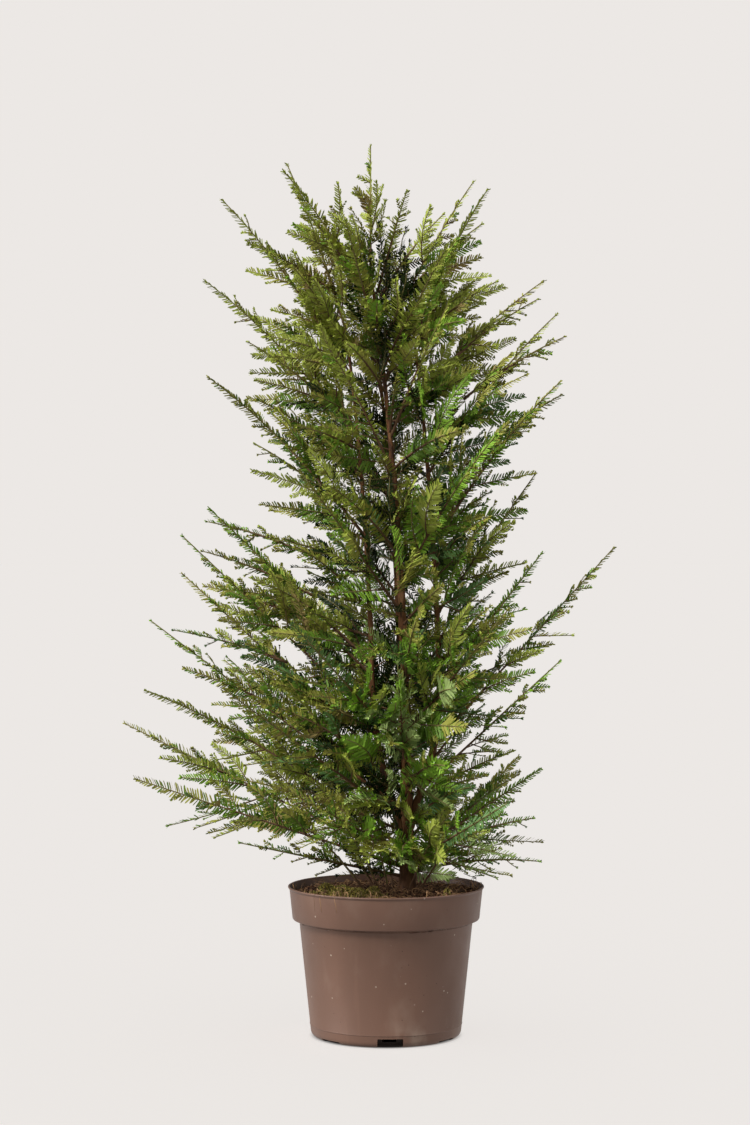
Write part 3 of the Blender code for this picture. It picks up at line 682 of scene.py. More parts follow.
def colour(name, description, default):
    """A setting that holds a colour."""
    text = {"name": name, "description": description}
    return FloatVectorProperty(**text, default=default, min=0.0, max=1.0, subtype="COLOR")


def brightness(name, description, default):
    """A setting for how strong a light is."""
    return FloatProperty(name=name, description=description, default=default, min=0.0)


class YewFoliageSettings(bpy.types.PropertyGroup):
    """Sizes and spacing of needles and twigs, and the needles' tones"""

    needle_length: length("Needle length", "Length of a full-grown needle", 0.0210)
    needle_width: length("Needle width", "Width of a full-grown needle", 0.0029)
    needle_pitch: length("Needle pitch", "Distance between needles on one side of a twig", 0.0035)
    side_pitch: length("Side shoot pitch", "Distance between side shoots along a branch", 0.0110)
    fine_pitch: length("Fine twig pitch", "Distance between fine twigs along a side shoot", 0.0165)
    # Olive is painted light: the bright tone of the sprays in full light at the crown's top and left
    olive: colour("Olive", "Sprays in full light", (0.285, 0.286, 0.050))
    yellow_green: colour("Yellow green", "Young sprays", (0.345, 0.405, 0.064))
    mid_green: colour("Mid green", "Grown sprays", (0.108, 0.200, 0.019))
    # Deep green is painted shade: a near-black tone for the sprays deep inside the crown
    deep_green: colour("Deep green", "Old sprays in the shade", (0.014, 0.029, 0.004))
    # Blue green is painted shade: a cool, darker tone for the sprays on the crown's shaded right side
    blue_green: colour("Blue green", "Sprays on the shaded side", (0.110, 0.210, 0.062))
    fresh_green: colour("Fresh green", "This year's growth", (0.210, 0.380, 0.036))
    pale_green: colour("Pale green", "The bright sprays at the front", (0.300, 0.400, 0.130))
    bronze: colour("Bronze", "Weathered sprays", (0.300, 0.225, 0.080))


class YewWoodSettings(bpy.types.PropertyGroup):
    """Colours and relief of bark and twigs"""

    bark: colour("Bark", "The trunk's and stems' reddish brown", (0.190, 0.080, 0.030))
    bark_light: colour("Light bark", "Where bark has flaked off", (0.360, 0.185, 0.080))
    bark_dark: colour("Dark bark", "Old bark in the cracks", (0.060, 0.030, 0.020))
    old_twig: colour("Old twig", "Woody twigs", (0.150, 0.080, 0.042))
    young_twig: colour("Young twig", "This year's twigs", (0.165, 0.135, 0.045))
    relief: length("Bark relief", "Depth of the trunk's bark", 0.0007)


class YewPotSettings(bpy.types.PropertyGroup):
    """Colours of the pot and of what lies in it"""

    plastic: colour("Plastic", "The pot's brown plastic", (0.150, 0.079, 0.053))
    dust: colour("Dust", "Dust and dried soil on the pot", (0.460, 0.370, 0.290))
    soil: colour("Soil", "Moist potting soil", (0.058, 0.023, 0.012))
    fibre: colour("Fibre", "Roots and straw in the soil", (0.290, 0.165, 0.080))
    moss: colour("Moss", "Moss on the soil", (0.200, 0.165, 0.040))
    sides: IntProperty(name="Pot sides", description="Steps of the pot's turning", default=144, min=24)


class YewStageSettings(bpy.types.PropertyGroup):
    """The backdrop, the floor and the light"""

    backdrop: colour("Backdrop", "The pale studio background", (0.839, 0.807, 0.783))
    floor: colour("Floor", "The pale floor", (0.450, 0.450, 0.450))
    floor_glow: colour("Floor glow", "The floor's own light, even with the backdrop", (0.711, 0.684, 0.663))
    fill: brightness("Fill light", "Strength of the even light from all round", 0.34)
    key: brightness("Key light", "Strength of the soft key light", 3.6)
    left: brightness("Left light", "Strength of the light from the left", 1.5)
    right: brightness("Right light", "Strength of the light from the right", 0.7)


# Materials

# A Mix node's sockets for colours, by number, because its inputs share their names
MIX_COLOURS = (6, 7)
MIX_RESULT = 2


class Field:
    """A value that changes over a surface. Sums and products of it add Math nodes."""

    def __init__(self, finish, socket):
        self.finish, self.socket = finish, socket

    def _with(self, operation, first, second):
        return self.finish.node("ShaderNodeMath", {"operation": operation}, {0: first, 1: second})

    def __add__(self, other):
        return self._with("ADD", self, other)

    def __rsub__(self, other):
        return self._with("SUBTRACT", other, self)

    def __mul__(self, other):
        return self._with("MULTIPLY", self, other)

    __radd__, __rmul__ = __add__, __mul__

    def rising(self, low, high):
        """0 below low, 1 above high, and smooth between them."""
        return self.finish.node(
            "ShaderNodeMapRange",
            {"interpolation_type": "SMOOTHSTEP"},
            {"Value": self, "From Min": low, "From Max": high, "To Min": 0.0, "To Max": 1.0},
        )


class Finish:
    """One material, and the nodes behind its shader."""

    def __init__(self, name, base, roughness, specular):
        self.material = bpy.data.materials.new(name)
        self.material.use_nodes = True
        self.tree = self.material.node_tree
        self.shader = self.tree.nodes["Principled BSDF"]
        self.material.diffuse_color = (*base, 1.0)
        self.shade(**{"Base Color": (*base, 1.0), "Roughness": roughness, "Specular IOR Level": specular})

    def feed(self, socket, value):
        """Gives a socket a plain value, or the link of one that changes over the surface."""
        if isinstance(value, Field):
            self.tree.links.new(value.socket, socket)
        else:
            socket.default_value = value

    def shade(self, **values):
        """Sets inputs of the shader by their names."""
        for name, value in values.items():
            self.feed(self.shader.inputs[name], value)

    def node(self, kind, settings, values, output=0):
        """A new node with its settings and inputs, as the field that it puts out."""
        made = self.tree.nodes.new(kind)
        for name, value in settings.items():
            setattr(made, name, value)
        for name, value in values.items():
            self.feed(made.inputs[name], value)
        return Field(self, made.outputs[output])

    def place(self, stretch=(1.0, 1.0, 1.0)):
        """Object coordinates, scaled along each axis."""
        where = self.node("ShaderNodeTexCoord", {}, {}, "Object")
        return self.node("ShaderNodeMapping", {}, {"Vector": where, "Scale": stretch})

    def height(self):
        """The height above the pot's underside."""
        where = self.node("ShaderNodeTexCoord", {}, {}, "Object")
        return self.node("ShaderNodeSeparateXYZ", {}, {"Vector": where}, "Z")

    def radius(self):
        """The distance from the pot's axis."""
        flat = self.place((1.0, 1.0, 0.0))
        return self.node("ShaderNodeVectorMath", {"operation": "LENGTH"}, {0: flat}, "Value")

    def cloudy(self, scale, detail=3.0, stretch=(1.0, 1.0, 1.0), distortion=0.0):
        """Soft noise. A low stretch along an axis draws it out along that axis."""
        values = {"Vector": self.place(stretch), "Scale": scale, "Detail": detail, "Distortion": distortion}
        return self.node("ShaderNodeTexNoise", {}, values, "Fac")

    def cells(self, scale):
        """The distance from the nearest of many scattered points."""
        return self.node("ShaderNodeTexVoronoi", {}, {"Vector": self.place(), "Scale": scale}, "Distance")

    def mixed(self, share, first, second):
        """The first colour, turning into the second as the share rises from 0 to 1."""
        values = {0: share}
        for socket, value in zip(MIX_COLOURS, (first, second)):
            values[socket] = value if isinstance(value, Field) else (*value, 1.0)
        return self.node("ShaderNodeMix", {"data_type": "RGBA"}, values, MIX_RESULT)

    def bump(self, height, distance, strength=1.0):
        """Makes the surface look uneven, by heights that rise up to a distance."""
        values = {"Height": height, "Distance": distance, "Strength": strength}
        self.shade(Normal=self.node("ShaderNodeBump", {}, values))


def plastic_finish(settings):
    """Brown moulded plastic: mottling, a fine grain, dust specks, scuffs, dried soil low down, and painted
    shade in the drainage recesses and under the foot.
    """
    made = Finish("pot_plastic", settings.plastic, roughness=0.5, specular=0.4)
    base = Vector(settings.plastic)
    mottle = made.cloudy(9.0, detail=4.0, stretch=(1.0, 1.0, 0.45)).rising(0.35, 0.70)
    body = made.mixed(mottle, base * 0.90, base * 1.10)
    streak = made.cloudy(70.0, detail=2.0, stretch=(1.0, 1.0, 0.06)).rising(0.56, 0.75) * 0.16
    body = made.mixed(streak, body, base * 1.45)
    film = made.cloudy(26.0, detail=5.0, stretch=(1.0, 1.0, 0.6)).rising(0.52, 0.80)
    low = 1 - made.height().rising(0.0, 0.045)
    body = made.mixed(film * (low * 0.30 + 0.10), body, settings.dust)
    specks = 1 - made.cells(62.0).rising(0.055, 0.095)
    sparse = made.cloudy(19.0, detail=2.0).rising(0.50, 0.56)
    body = made.mixed(specks * sparse * 0.85, body, settings.dust)
    spots_apart = made.cloudy(23.0, detail=1.0).rising(0.52, 0.58)
    grit = (1 - made.cells(110.0).rising(0.06, 0.10)) * spots_apart
    body = made.mixed(grit * 0.8, body, base * 0.3)
    # Painted shade: the plastic darkens to near black in the drainage recesses and under the foot, where
    # little light reaches
    inside = 1 - made.radius().rising(BODY_FOOT_RADIUS - 0.008, BODY_FOOT_RADIUS - 0.003)
    made.shade(**{"Base Color": made.mixed(inside * low * 0.9, body, base * 0.10)})
    made.shade(Roughness=made.cloudy(34.0, detail=3.0) * 0.22 + film * 0.16 + 0.36)
    grain = made.cloudy(900.0, detail=2.0) * 0.6
    waves = made.cloudy(55.0, detail=2.0) * 0.8
    made.bump(grain + waves + specks * sparse, distance=0.00025, strength=0.7)
    return made.material


def soil_finish(settings):
    """Dark, moist peat with lighter fibres and crumbs."""
    made = Finish("potting_soil", settings.soil, roughness=0.95, specular=0.25)
    base = Vector(settings.soil)
    lumps = made.cloudy(120.0, detail=5.0).rising(0.35, 0.68)
    body = made.mixed(lumps, base * 0.45, base * 1.9)
    streaks = made.cloudy(240.0, detail=3.0, stretch=(1.0, 0.25, 1.0), distortion=1.2)
    fibres = streaks.rising(0.60, 0.70) * 0.5
    made.shade(**{"Base Color": made.mixed(fibres, body, Vector(settings.fibre) * 0.6)})
    made.bump(made.cloudy(380.0, detail=5.0), distance=0.0012)
    return made.material


def bark_finish(name, settings, shade=1.0):
    """Thin, flaking bark: reddish brown, orange where it has peeled, dark in the cracks, with painted shade
    low down.
    """
    made = Finish(name, settings.bark, roughness=0.8, specular=0.3)
    base, light = Vector(settings.bark) * shade, Vector(settings.bark_light) * shade
    flakes = made.cloudy(150.0, detail=4.0, stretch=(1.0, 1.0, 0.22), distortion=0.6)
    body = made.mixed(flakes.rising(0.50, 0.66), base, light)
    body = made.mixed(1 - flakes.rising(0.34, 0.46), body, Vector(settings.bark_dark))
    patches = made.cloudy(28.0, detail=3.0, stretch=(1.0, 1.0, 0.4)).rising(0.42, 0.66)
    body = made.mixed(patches * 0.5, body, base * 0.62)
    # Painted shade: the bark darkens below about a third of a metre, where the crown shades the trunk's foot
    # and the low boughs
    painted_foot_shade = 1 - made.height().rising(0.22, 0.36)
    body = made.mixed(painted_foot_shade * 0.6, body, base * 0.30)
    made.shade(**{"Base Color": body, "Roughness": made.cloudy(90.0, detail=2.0) * 0.2 + 0.68})
    fine = made.cloudy(620.0, detail=3.0, stretch=(1.0, 1.0, 0.3))
    made.bump(flakes + fine * 0.35, distance=0.0008)
    return made.material


def plain_finish(name, base, roughness, specular):
    """One even colour."""
    return Finish(name, tuple(base), roughness, specular).material


def shades(name, tones, roughness, specular):
    """Plain finishes of one kind of thing, numbered, one for each tone."""
    return [plain_finish(f"{name}_{number}", tone, roughness, specular) for number, tone in enumerate(tones)]


# Lines and limbs


class Limb(NamedTuple):
    """A tapering limb: the points of its middle line, and its radius at each."""

    points: np.ndarray
    radii: np.ndarray

    def at_height(self, height):
        """The point, direction and radius where the middle line passes a height."""
        heights = self.points[:, 2]
        index = int(np.clip(np.searchsorted(heights, height, side="right") - 1, 0, len(heights) - 2))
        share = (height - heights[index]) / (heights[index + 1] - heights[index])
        step = self.points[index + 1] - self.points[index]
        radius = self.radii[index] + (self.radii[index + 1] - self.radii[index]) * share
        return self.points[index] + step * share, unit(step), radius


def unit(vectors):
    """Vectors at a length of one."""
    return vectors / np.maximum(np.linalg.norm(vectors, axis=-1, keepdims=True), 1e-12)


def polar(azimuth, radius):
    """A level vector at an azimuth."""
    angle = math.radians(azimuth)
    return np.array((radius * math.cos(angle), radius * math.sin(angle), 0.0))


def smooth_share(share):
    """A share held between 0 and 1, with an easy start and end."""
    share = min(1.0, max(0.0, share))
    return share * share * (3 - 2 * share)


def soil_height(x, y):
    """The height of the soil's even mound, as in the part's source."""
    fall = SOIL_MOUND * MOUND_FALLS_BY * math.hypot(x, y) / (RIM_RADIUS * MOUND_FALLS_WITHIN)
    return SOIL_TOP + SOIL_MOUND - fall


def trunk_limb():
    """The trunk, from its flared foot on the soil to its top."""
    foot = soil_height(TRUNK_FOOT_X, 0.0) + CLEARANCE
    points, radii = [], []
    for ring in range(TRUNK_RINGS):
        share = (ring / (TRUNK_RINGS - 1)) ** TRUNK_RINGS_POWER
        height = foot + (TRUNK_TOP - foot) * share
        points.append((TRUNK_FOOT_X + TRUNK_LEAN * share**TRUNK_LEAN_POWER, 0.0, height))
        taper = TRUNK_RADIUS + (TRUNK_TIP_RADIUS - TRUNK_RADIUS) * share**TRUNK_TAPER_POWER
        radii.append(taper + FLARE * math.exp(-(height - foot) / FLARE_HEIGHT))
    return Limb(np.array(points), np.array(radii))


def stem_limb(stem, trunk):
    """A stem, from its fork on the trunk to its top."""
    points, radii = [], []
    for ring in range(STEM_RINGS):
        share = ring / (STEM_RINGS - 1)
        height = stem.forks_at + (stem.top - stem.forks_at) * share**STEM_RINGS_POWER
        outward = stem.offset * smooth_share(share / STEM_SPREADS_BY + STEM_HEAD_START) if ring else 0.0
        points.append(trunk.at_height(height)[0] + polar(stem.azimuth, outward))
        radii.append(STEM_RADIUS + (STEM_TIP_RADIUS - STEM_RADIUS) * share)
    return Limb(np.array(points), np.array(radii))


def curve_between(start, tip, arch, sway):
    """Points from start to tip on one curve, which bows up by arch and sideways by sway of its length."""
    chord = tip - start
    reach = np.linalg.norm(chord)
    side = unit(np.array((-chord[1], chord[0], 0.0)))
    middle = (start + tip) / 2 + UP * (arch * reach) + side * (sway * reach)
    share = np.linspace(0.0, 1.0, LINE_STEPS + 1)[:, None]
    return start * (1 - share) ** 2 + middle * (2 * share * (1 - share)) + tip * share**2


def line_length(line):
    """The length of a line along its points."""
    return float(np.linalg.norm(np.diff(line, axis=0), axis=1).sum())


def along(line, shares):
    """Points and directions at shares of a line's length."""
    steps = np.diff(line, axis=0)
    lengths = np.linalg.norm(steps, axis=1)
    reached = np.concatenate(([0.0], np.cumsum(lengths)))
    wanted = np.clip(np.asarray(shares, float), 0.0, 1.0) * reached[-1]
    index = np.clip(np.searchsorted(reached, wanted, side="right") - 1, 0, len(steps) - 1)
    share = ((wanted - reached[index]) / np.maximum(lengths[index], 1e-12))[:, None]
    return line[index] + steps[index] * share, unit(steps)[index]


def turned_about(vector, axis, angle):
    """A vector turned about an axis by an angle in radians."""
    cosine, sine = math.cos(angle), math.sin(angle)
    return vector * cosine + np.cross(axis, vector) * sine + axis * (axis @ vector) * (1 - cosine)


# The crown


class Twig(NamedTuple):
    """One twig: its line, the way its spray faces, its radii and tone, and where its needles start.

    Its order is 0 for the living end of a branch, 1 for a side shoot and 2 for a fine twig.
    """

    line: np.ndarray
    facing: np.ndarray
    foot: float
    tip: float
    tone: int
    leafy_from: float
    order: int


def zone_of(point):
    """The part of the crown that a point lies in."""
    x, y, z = point
    azimuth = math.degrees(math.atan2(y, x))
    inside = min(INSIDE_MOST, INSIDE_SHARE * crown_reach(azimuth, z))
    if math.hypot(x, y) < inside and z < INSIDE_TOP:
        return "inside"
    if z > CROWN_FROM:
        return "crown"
    if y > BACK_FROM:
        return "back"
    side = "left" if x < LEFT_FROM else "right" if x > RIGHT_FROM else "centre"
    low_until = RIGHT_LOW_UNTIL if side == "right" else LOW_UNTIL
    return f"{side}_mid" if z > low_until else f"{side}_low"


def light_facing(point, direction, dice):
    """The way a spray's flat side faces: up and out to the light, with some turn of its own."""
    light = UP * FACE_UP + polar(math.degrees(math.atan2(point[1], point[0])), FACE_OUT)
    facing = unit(light - direction * (light @ direction))
    return turned_about(facing, direction, math.radians(dice.uniform(-FACE_TURN, FACE_TURN)))


def bent_line(root, direction, towards, reach, bend, steps):
    """A line of a given length that starts in one direction and bends a little towards another."""
    share = np.linspace(0.0, 1.0, steps + 1)[:, None]
    goal = unit(direction + towards * bend)
    headings = unit(direction * (1 - share) + goal * share)
    moves = (headings[1:] + headings[:-1]) / 2 * (reach / steps)
    return np.concatenate(([root], root + np.cumsum(moves, axis=0)))


def side_shoot(line, share, side, full, long, dice):
    """A side shoot's root, the way the branch runs there, and the shoot's direction and length."""
    points, tangents = along(line, [share])
    point, tangent = points[0], tangents[0]
    upright = abs(tangent[2]) >= UPRIGHT
    level = np.array((0.0, 1.0, 0.0)) if upright else unit(np.cross(UP, tangent))
    up = np.cross(tangent, level)
    lift = math.radians(dice.uniform(-LIFT, LIFT))
    outward = level * (side * math.cos(lift)) + up * math.sin(lift)
    angle = ANGLE_LOW + (ANGLE_HIGH - ANGLE_LOW) * share + dice.uniform(-ANGLE_SPREAD, ANGLE_SPREAD)
    angle = math.radians(angle if long else angle + ANGLE_SHORT_MORE)
    direction = unit(tangent * math.cos(angle) + outward * math.sin(angle))
    if long:
        reach = full * (LONG_REACH - LONG_FALL * share) * dice.uniform(*LONG_VARIES)
    else:
        reach = (SHORT_REACH - SHORT_FALL * share) * dice.uniform(*SHORT_VARIES)
    return point, tangent, direction, min(SIDE_LONGEST, max(SIDE_SHORTEST, reach))


def grow_branch(line, bare, foot, seed, settings, fullness=1.0):
    """Every twig of one branch: its own living end, its side shoots, and the fine twigs on those."""
    dice = random.Random(seed)
    living, _ = along(line, np.linspace(bare, 1.0, LINE_STEPS + 1))
    whole = line_length(living)
    full = whole * SIDE_SHARE * fullness
    direction = unit(living[-1] - living[0])
    facing = light_facing(living[LINE_STEPS // 2], direction, dice)
    tone = pick_tone(living[END_TONE_FROM], dice)
    twigs = [Twig(living, facing, foot, SHOOT_TIP_RADIUS, tone, END_BARE, 0)]
    count = max(SIDE_FEWEST, round(whole * (SIDE_END - SIDE_START) / settings.side_pitch))
    for rank in range(count):
        share = SIDE_START + (SIDE_END - SIDE_START) * (rank + dice.uniform(*SIDE_SPACING)) / count
        side = 1 if rank % 2 else -1
        long = rank % 3 < 2 and share < LONG_END
        root, tangent, heading, reach = side_shoot(living, share, side, full, long, dice)
        face = light_facing(root, heading, dice)
        away = unit(np.array((root[0] - TRUNK_FOOT_X / 2, root[1], 0.0)))
        towards = away * BEND_OUT + tangent * BEND_ON - UP * BEND_DOWN
        shoot = bent_line(root, heading, towards, reach, dice.uniform(*BEND_VARIES), SHOOT_STEPS)
        tone = pick_tone(shoot[SHOOT_STEPS // 2], dice)
        foot_here = SHOOT_FOOT + SHOOT_FOOT_MORE * min(1.0, reach / SHOOT_FOOT_REACH)
        twigs.append(Twig(shoot, face, foot_here, SHOOT_TIP, tone, SHOOT_BARE, 1))
        if reach >= FINE_FROM:
            twigs += fine_twigs(shoot, face, reach, tone, dice, settings)
    return twigs


def fine_twigs(line, facing, reach, tone, dice, settings):
    """The fine twigs along both sides of a side shoot, close to the plane that it faces."""
    twigs = []
    count = max(FINE_FEWEST, round(reach * (FINE_END - FINE_START) / settings.fine_pitch))
    for rank in range(count):
        share = FINE_START + (FINE_END - FINE_START) * (rank + dice.uniform(*FINE_SPACING)) / count
        points, tangents = along(line, [share])
        across = np.cross(tangents[0], facing) * (1 if rank % 2 else -1)
        angle = math.radians(FINE_ANGLE - FINE_ANGLE_FALL * share + dice.uniform(*FINE_ANGLE_SPREAD))
        raised = math.radians(dice.uniform(*FINE_RAISED))
        outward = across * math.cos(raised) + facing * math.sin(raised)
        heading = unit(tangents[0] * math.cos(angle) + outward * math.sin(angle))
        size = reach * FINE_SHARE * (FINE_REACH - FINE_FALL * share) * dice.uniform(*FINE_VARIES)
        size = min(FINE_LONGEST, max(FINE_SHORTEST, size))
        towards = tangents[0] + UP * FINE_RISE
        fine = bent_line(points[0], heading, towards, size, dice.uniform(*FINE_BEND), FINE_STEPS)
        face = unit(facing - heading * (facing @ heading))
        face = turned_about(face, heading, math.radians(dice.uniform(*FINE_TURN)))
        own = pick_tone(fine[FINE_STEPS // 2], dice) if dice.random() < FINE_OWN_TONE else tone
        twigs.append(Twig(fine, face, FINE_FOOT, FINE_TIP, own, FINE_BARE, 2))
    return twigs


def pick_tone(point, dice):
    """A tone from the mix of the spray's part of the crown. Outer sprays, which are in the light, never take
    the deepest one, which is painted shade.
    """
    mix = MIXES[zone_of(point)]
    tone = dice.choices(range(len(mix)), mix)[0]
    outer = math.hypot(point[0], point[1]) > OUTER_FROM
    return MID if tone == DEEP and outer else tone


def crown_reach(azimuth, height):
    """How far the crown reaches from its middle at an azimuth and a height."""
    across, deep = math.cos(math.radians(azimuth)), math.sin(math.radians(azimuth))
    wide = np.interp(height, REACH_HEIGHTS, REACH_RIGHT if across > 0 else REACH_LEFT)
    depth = np.interp(height, REACH_HEIGHTS, REACH_DEPTH)
    return 1 / math.hypot(across / wide, deep / depth)


def nearest_limb(azimuth):
    """The name of the limb that stands most to a side."""
    return min(limbs(), key=lambda name: abs((LIMB_AZIMUTHS[name] - azimuth + 180) % 360 - 180))


def inner_branches(settings):
    """More branches between those of the table, which end a little inside the crown's reach."""
    twigs = []
    for number in range(INNER_BRANCHES):
        dice = random.Random(INNER_SEED + number)
        azimuth = (number * GOLDEN_ANGLE) % 360
        leaves_at = INNER_LOWEST + INNER_SPAN * (number + dice.random()) / INNER_BRANCHES
        limb = limbs()[nearest_limb(azimuth) if leaves_at > INNER_TRUNK_UNTIL else "trunk"]
        leaves_at = min(leaves_at, limb.points[-1][2] - INNER_BELOW_TOP)
        root = limb.at_height(leaves_at)[0]
        rise = math.tan(math.radians(dice.uniform(*INNER_RISE) + INNER_RISE_MORE * leaves_at))
        reach = crown_reach(azimuth, leaves_at + INNER_LOOKS_UP)
        tip_height = min(INNER_HIGHEST, leaves_at + rise * reach * INNER_RUN)
        tip = polar(azimuth, crown_reach(azimuth, tip_height) * dice.uniform(*INNER_REACH))
        tip = np.array((tip[0] + INNER_FOLLOWS * root[0], tip[1], tip_height))
        line = curve_between(root, tip, dice.uniform(*INNER_ARCH), INNER_SWAY * dice.uniform(-1, 1))
        twigs += grow_branch(line, 0.0, INNER_FOOT, INNER_TWIGS_SEED + number, settings)
    for number, branch in enumerate(MORE_BRANCHES):
        start = limbs()[branch.stem].at_height(branch.leaves_at)[0]
        tip = start + polar(branch.azimuth, branch.reach)
        tip[2] = branch.tip_height
        line = curve_between(start, tip, MORE_ARCH, MORE_SWAY)
        seed = MORE_TWIGS_SEED + number
        twigs += grow_branch(line, branch.bare, INNER_FOOT, seed, settings, MORE_FULLNESS)
    return twigs


def spray(root, azimuth, ranges, tone, bare, dice, settings):
    """A short shoot that rises at an azimuth, and its fine twigs. Without a tone it picks its own."""
    rise_range, reach_range, bend_range = ranges
    rise = math.radians(dice.uniform(*rise_range))
    heading = unit(polar(azimuth, math.cos(rise)) + UP * math.sin(rise))
    reach = dice.uniform(*reach_range)
    line = bent_line(root, heading, UP, reach, dice.uniform(*bend_range), SHOOT_STEPS)
    face = light_facing(line[SHOOT_STEPS // 2], heading, dice)
    if tone is None:
        tone = pick_tone(line[-1], dice)
    shoot = Twig(line, face, CORE_FOOT, SHOOT_TIP, tone, bare, 1)
    return [shoot, *fine_twigs(line, face, reach, tone, dice, settings)]


def core_shoots(settings):
    """Inner shoots along the trunk and stems, which fill the middle of the crown."""
    dice = random.Random(CORE_SEED)
    twigs = []
    for name, (low, high, count) in CORE.items():
        for rank in range(count):
            height = low + (high - low) * (rank + dice.random()) / count
            azimuth = dice.uniform(0, 360)
            root = limbs()[name].at_height(height)[0]
            ranges = (CORE_RISE, CORE_REACH, CORE_BEND)
            twigs += spray(root, azimuth, ranges, None, CORE_BARE, dice, settings)
    return twigs


@functools.lru_cache(maxsize=1)
def limbs():
    """The trunk and stems as limbs, by name."""
    trunk = trunk_limb()
    return {"trunk": trunk, **{stem.name: stem_limb(stem, trunk) for stem in STEMS}}


@functools.lru_cache(maxsize=1)
def branch_lines():
    """Each branch's name, line, bare share and foot radius, and the seed of its twigs."""
    found = []
    for number, branch in enumerate(BRANCHES):
        dice = random.Random(SWAY_SEED + number)
        start, _, stem_radius = limbs()[branch.stem].at_height(branch.leaves_at)
        tip = start + polar(branch.azimuth, branch.reach)
        tip[2] = branch.tip_height
        level = branch.tip_height < branch.leaves_at + LEVEL_RISE
        arch = ARCH if level or branch.leaves_at > ARCH_FROM else 0.0
        line = curve_between(start, tip, arch, SWAY * dice.uniform(-1, 1))
        foot = BOUGH_TIP_RADIUS if branch.bare else min(SHOOT_FOOT_RADIUS, stem_radius * CHILD_SHARE)
        found.append((branch.name, line, branch.bare, foot, BRANCH_SEED + number))
    for number, stem in enumerate(STEMS):
        limb = limbs()[stem.name]
        tip = limb.points[-1] + polar(stem.tip_azimuth, stem.tip_reach)
        tip[2] = stem.tip_height
        line = curve_between(limb.points[-1], tip, ARCH, 0.0)
        found.append((stem.name.replace("stem", "top"), line, 0.0, limb.radii[-1], TOP_SEED + number))
    trunk = limbs()["trunk"]
    tip = np.array((trunk.points[-1][0], 0.0, LEADER_TIP))
    line = curve_between(trunk.points[-1], tip, 0.0, 0.0)
    found.append(("leader", line, 0.0, trunk.radii[-1], LEADER_SEED))
    return found


@functools.lru_cache(maxsize=1)
def crown():
    """Every twig of the crown, by the name of its branch."""
    settings = bpy.context.scene.yew_foliage
    grown = {
        name: grow_branch(line, bare, foot, seed, settings, FULLNESS.get(name, 1.0))
        for name, line, bare, foot, seed in branch_lines()
    }
    grown["front_shoot"] = [twig._replace(tone=PALE) for twig in grown["front_shoot"]]
    grown["inner"] = inner_branches(settings)
    grown["core"] = core_shoots(settings)
    kept = {name: [twig for twig in twigs if clear(twig)] for name, twigs in grown.items()}
    kept["core"] += soil_shoots(settings)
    return kept


def clear(twig):
    """Whether a twig is clear of the pot, and of the openings in front of the stems."""
    low = twig.line[twig.line[:, 2] < SOIL_TOP + POT_CLEAR]
    if len(low) and np.linalg.norm(low[:, :2], axis=1).min() < RIM_RADIUS + POT_CLEAR:
        return False
    x, y, z = twig.line[len(twig.line) * 2 // 3]
    veils = any(left < x < right and bottom < z < top for left, right, bottom, top in OPENINGS)
    return not (veils and y < OPENING_BACK and twig.order)


def soil_shoots(settings):
    """Thin shoots that rise bare from the soil round the trunk, with needles only on their outer half."""
    dice = random.Random(SOIL_SHOOT_SEED)
    twigs = []
    for rank in range(SOIL_SHOOTS):
        azimuth = rank * 360 / SOIL_SHOOTS + dice.uniform(*SOIL_SHOOT_TURN)
        root = np.array((TRUNK_FOOT_X / 2, 0.0, 0.0)) + polar(azimuth, dice.uniform(*SOIL_SHOOT_RING))
        root[2] = soil_surface(root[0], root[1]) - SOIL_SHOOT_DEPTH
        heading = unit(polar(azimuth, 1.0) + UP * dice.uniform(*SOIL_SHOOT_RISE))
        outward = polar(azimuth, 1.0) + UP * SOIL_SHOOT_LATER_RISE
        reach = dice.uniform(*SOIL_SHOOT_REACH)
        bend = dice.uniform(*SOIL_SHOOT_BEND)
        line = bent_line(root, heading, outward, reach, bend, SOIL_SHOOT_STEPS)
        face = light_facing(line[SOIL_SHOOT_MIDDLE], heading, dice)
        tone = pick_tone(line[-1], dice)
        twigs.append(Twig(line, face, SOIL_SHOOT_FOOT, SOIL_SHOOT_TIP, tone, SOIL_SHOOT_BARE, 1))
        fine = fine_twigs(line, face, reach, tone, dice, settings)
        twigs += [twig for twig in fine if twig.line[0][2] > SOIL_SHOOT_FINE_FROM]
    for rank in range(FOOT_SPRAYS):
        height = FOOT_SPRAY_LOWEST + FOOT_SPRAY_SPAN * dice.random()
        root = limbs()["trunk"].at_height(height)[0]
        azimuth = FOOT_SPRAY_FROM + FOOT_SPRAY_ARC * (rank + dice.random()) / FOOT_SPRAYS
        ranges = (FOOT_SPRAY_RISE, FOOT_SPRAY_REACH, FOOT_SPRAY_BEND)
        twigs += spray(root, azimuth, ranges, FRESH, FOOT_SPRAY_BARE, dice, settings)
    return twigs


# Needles


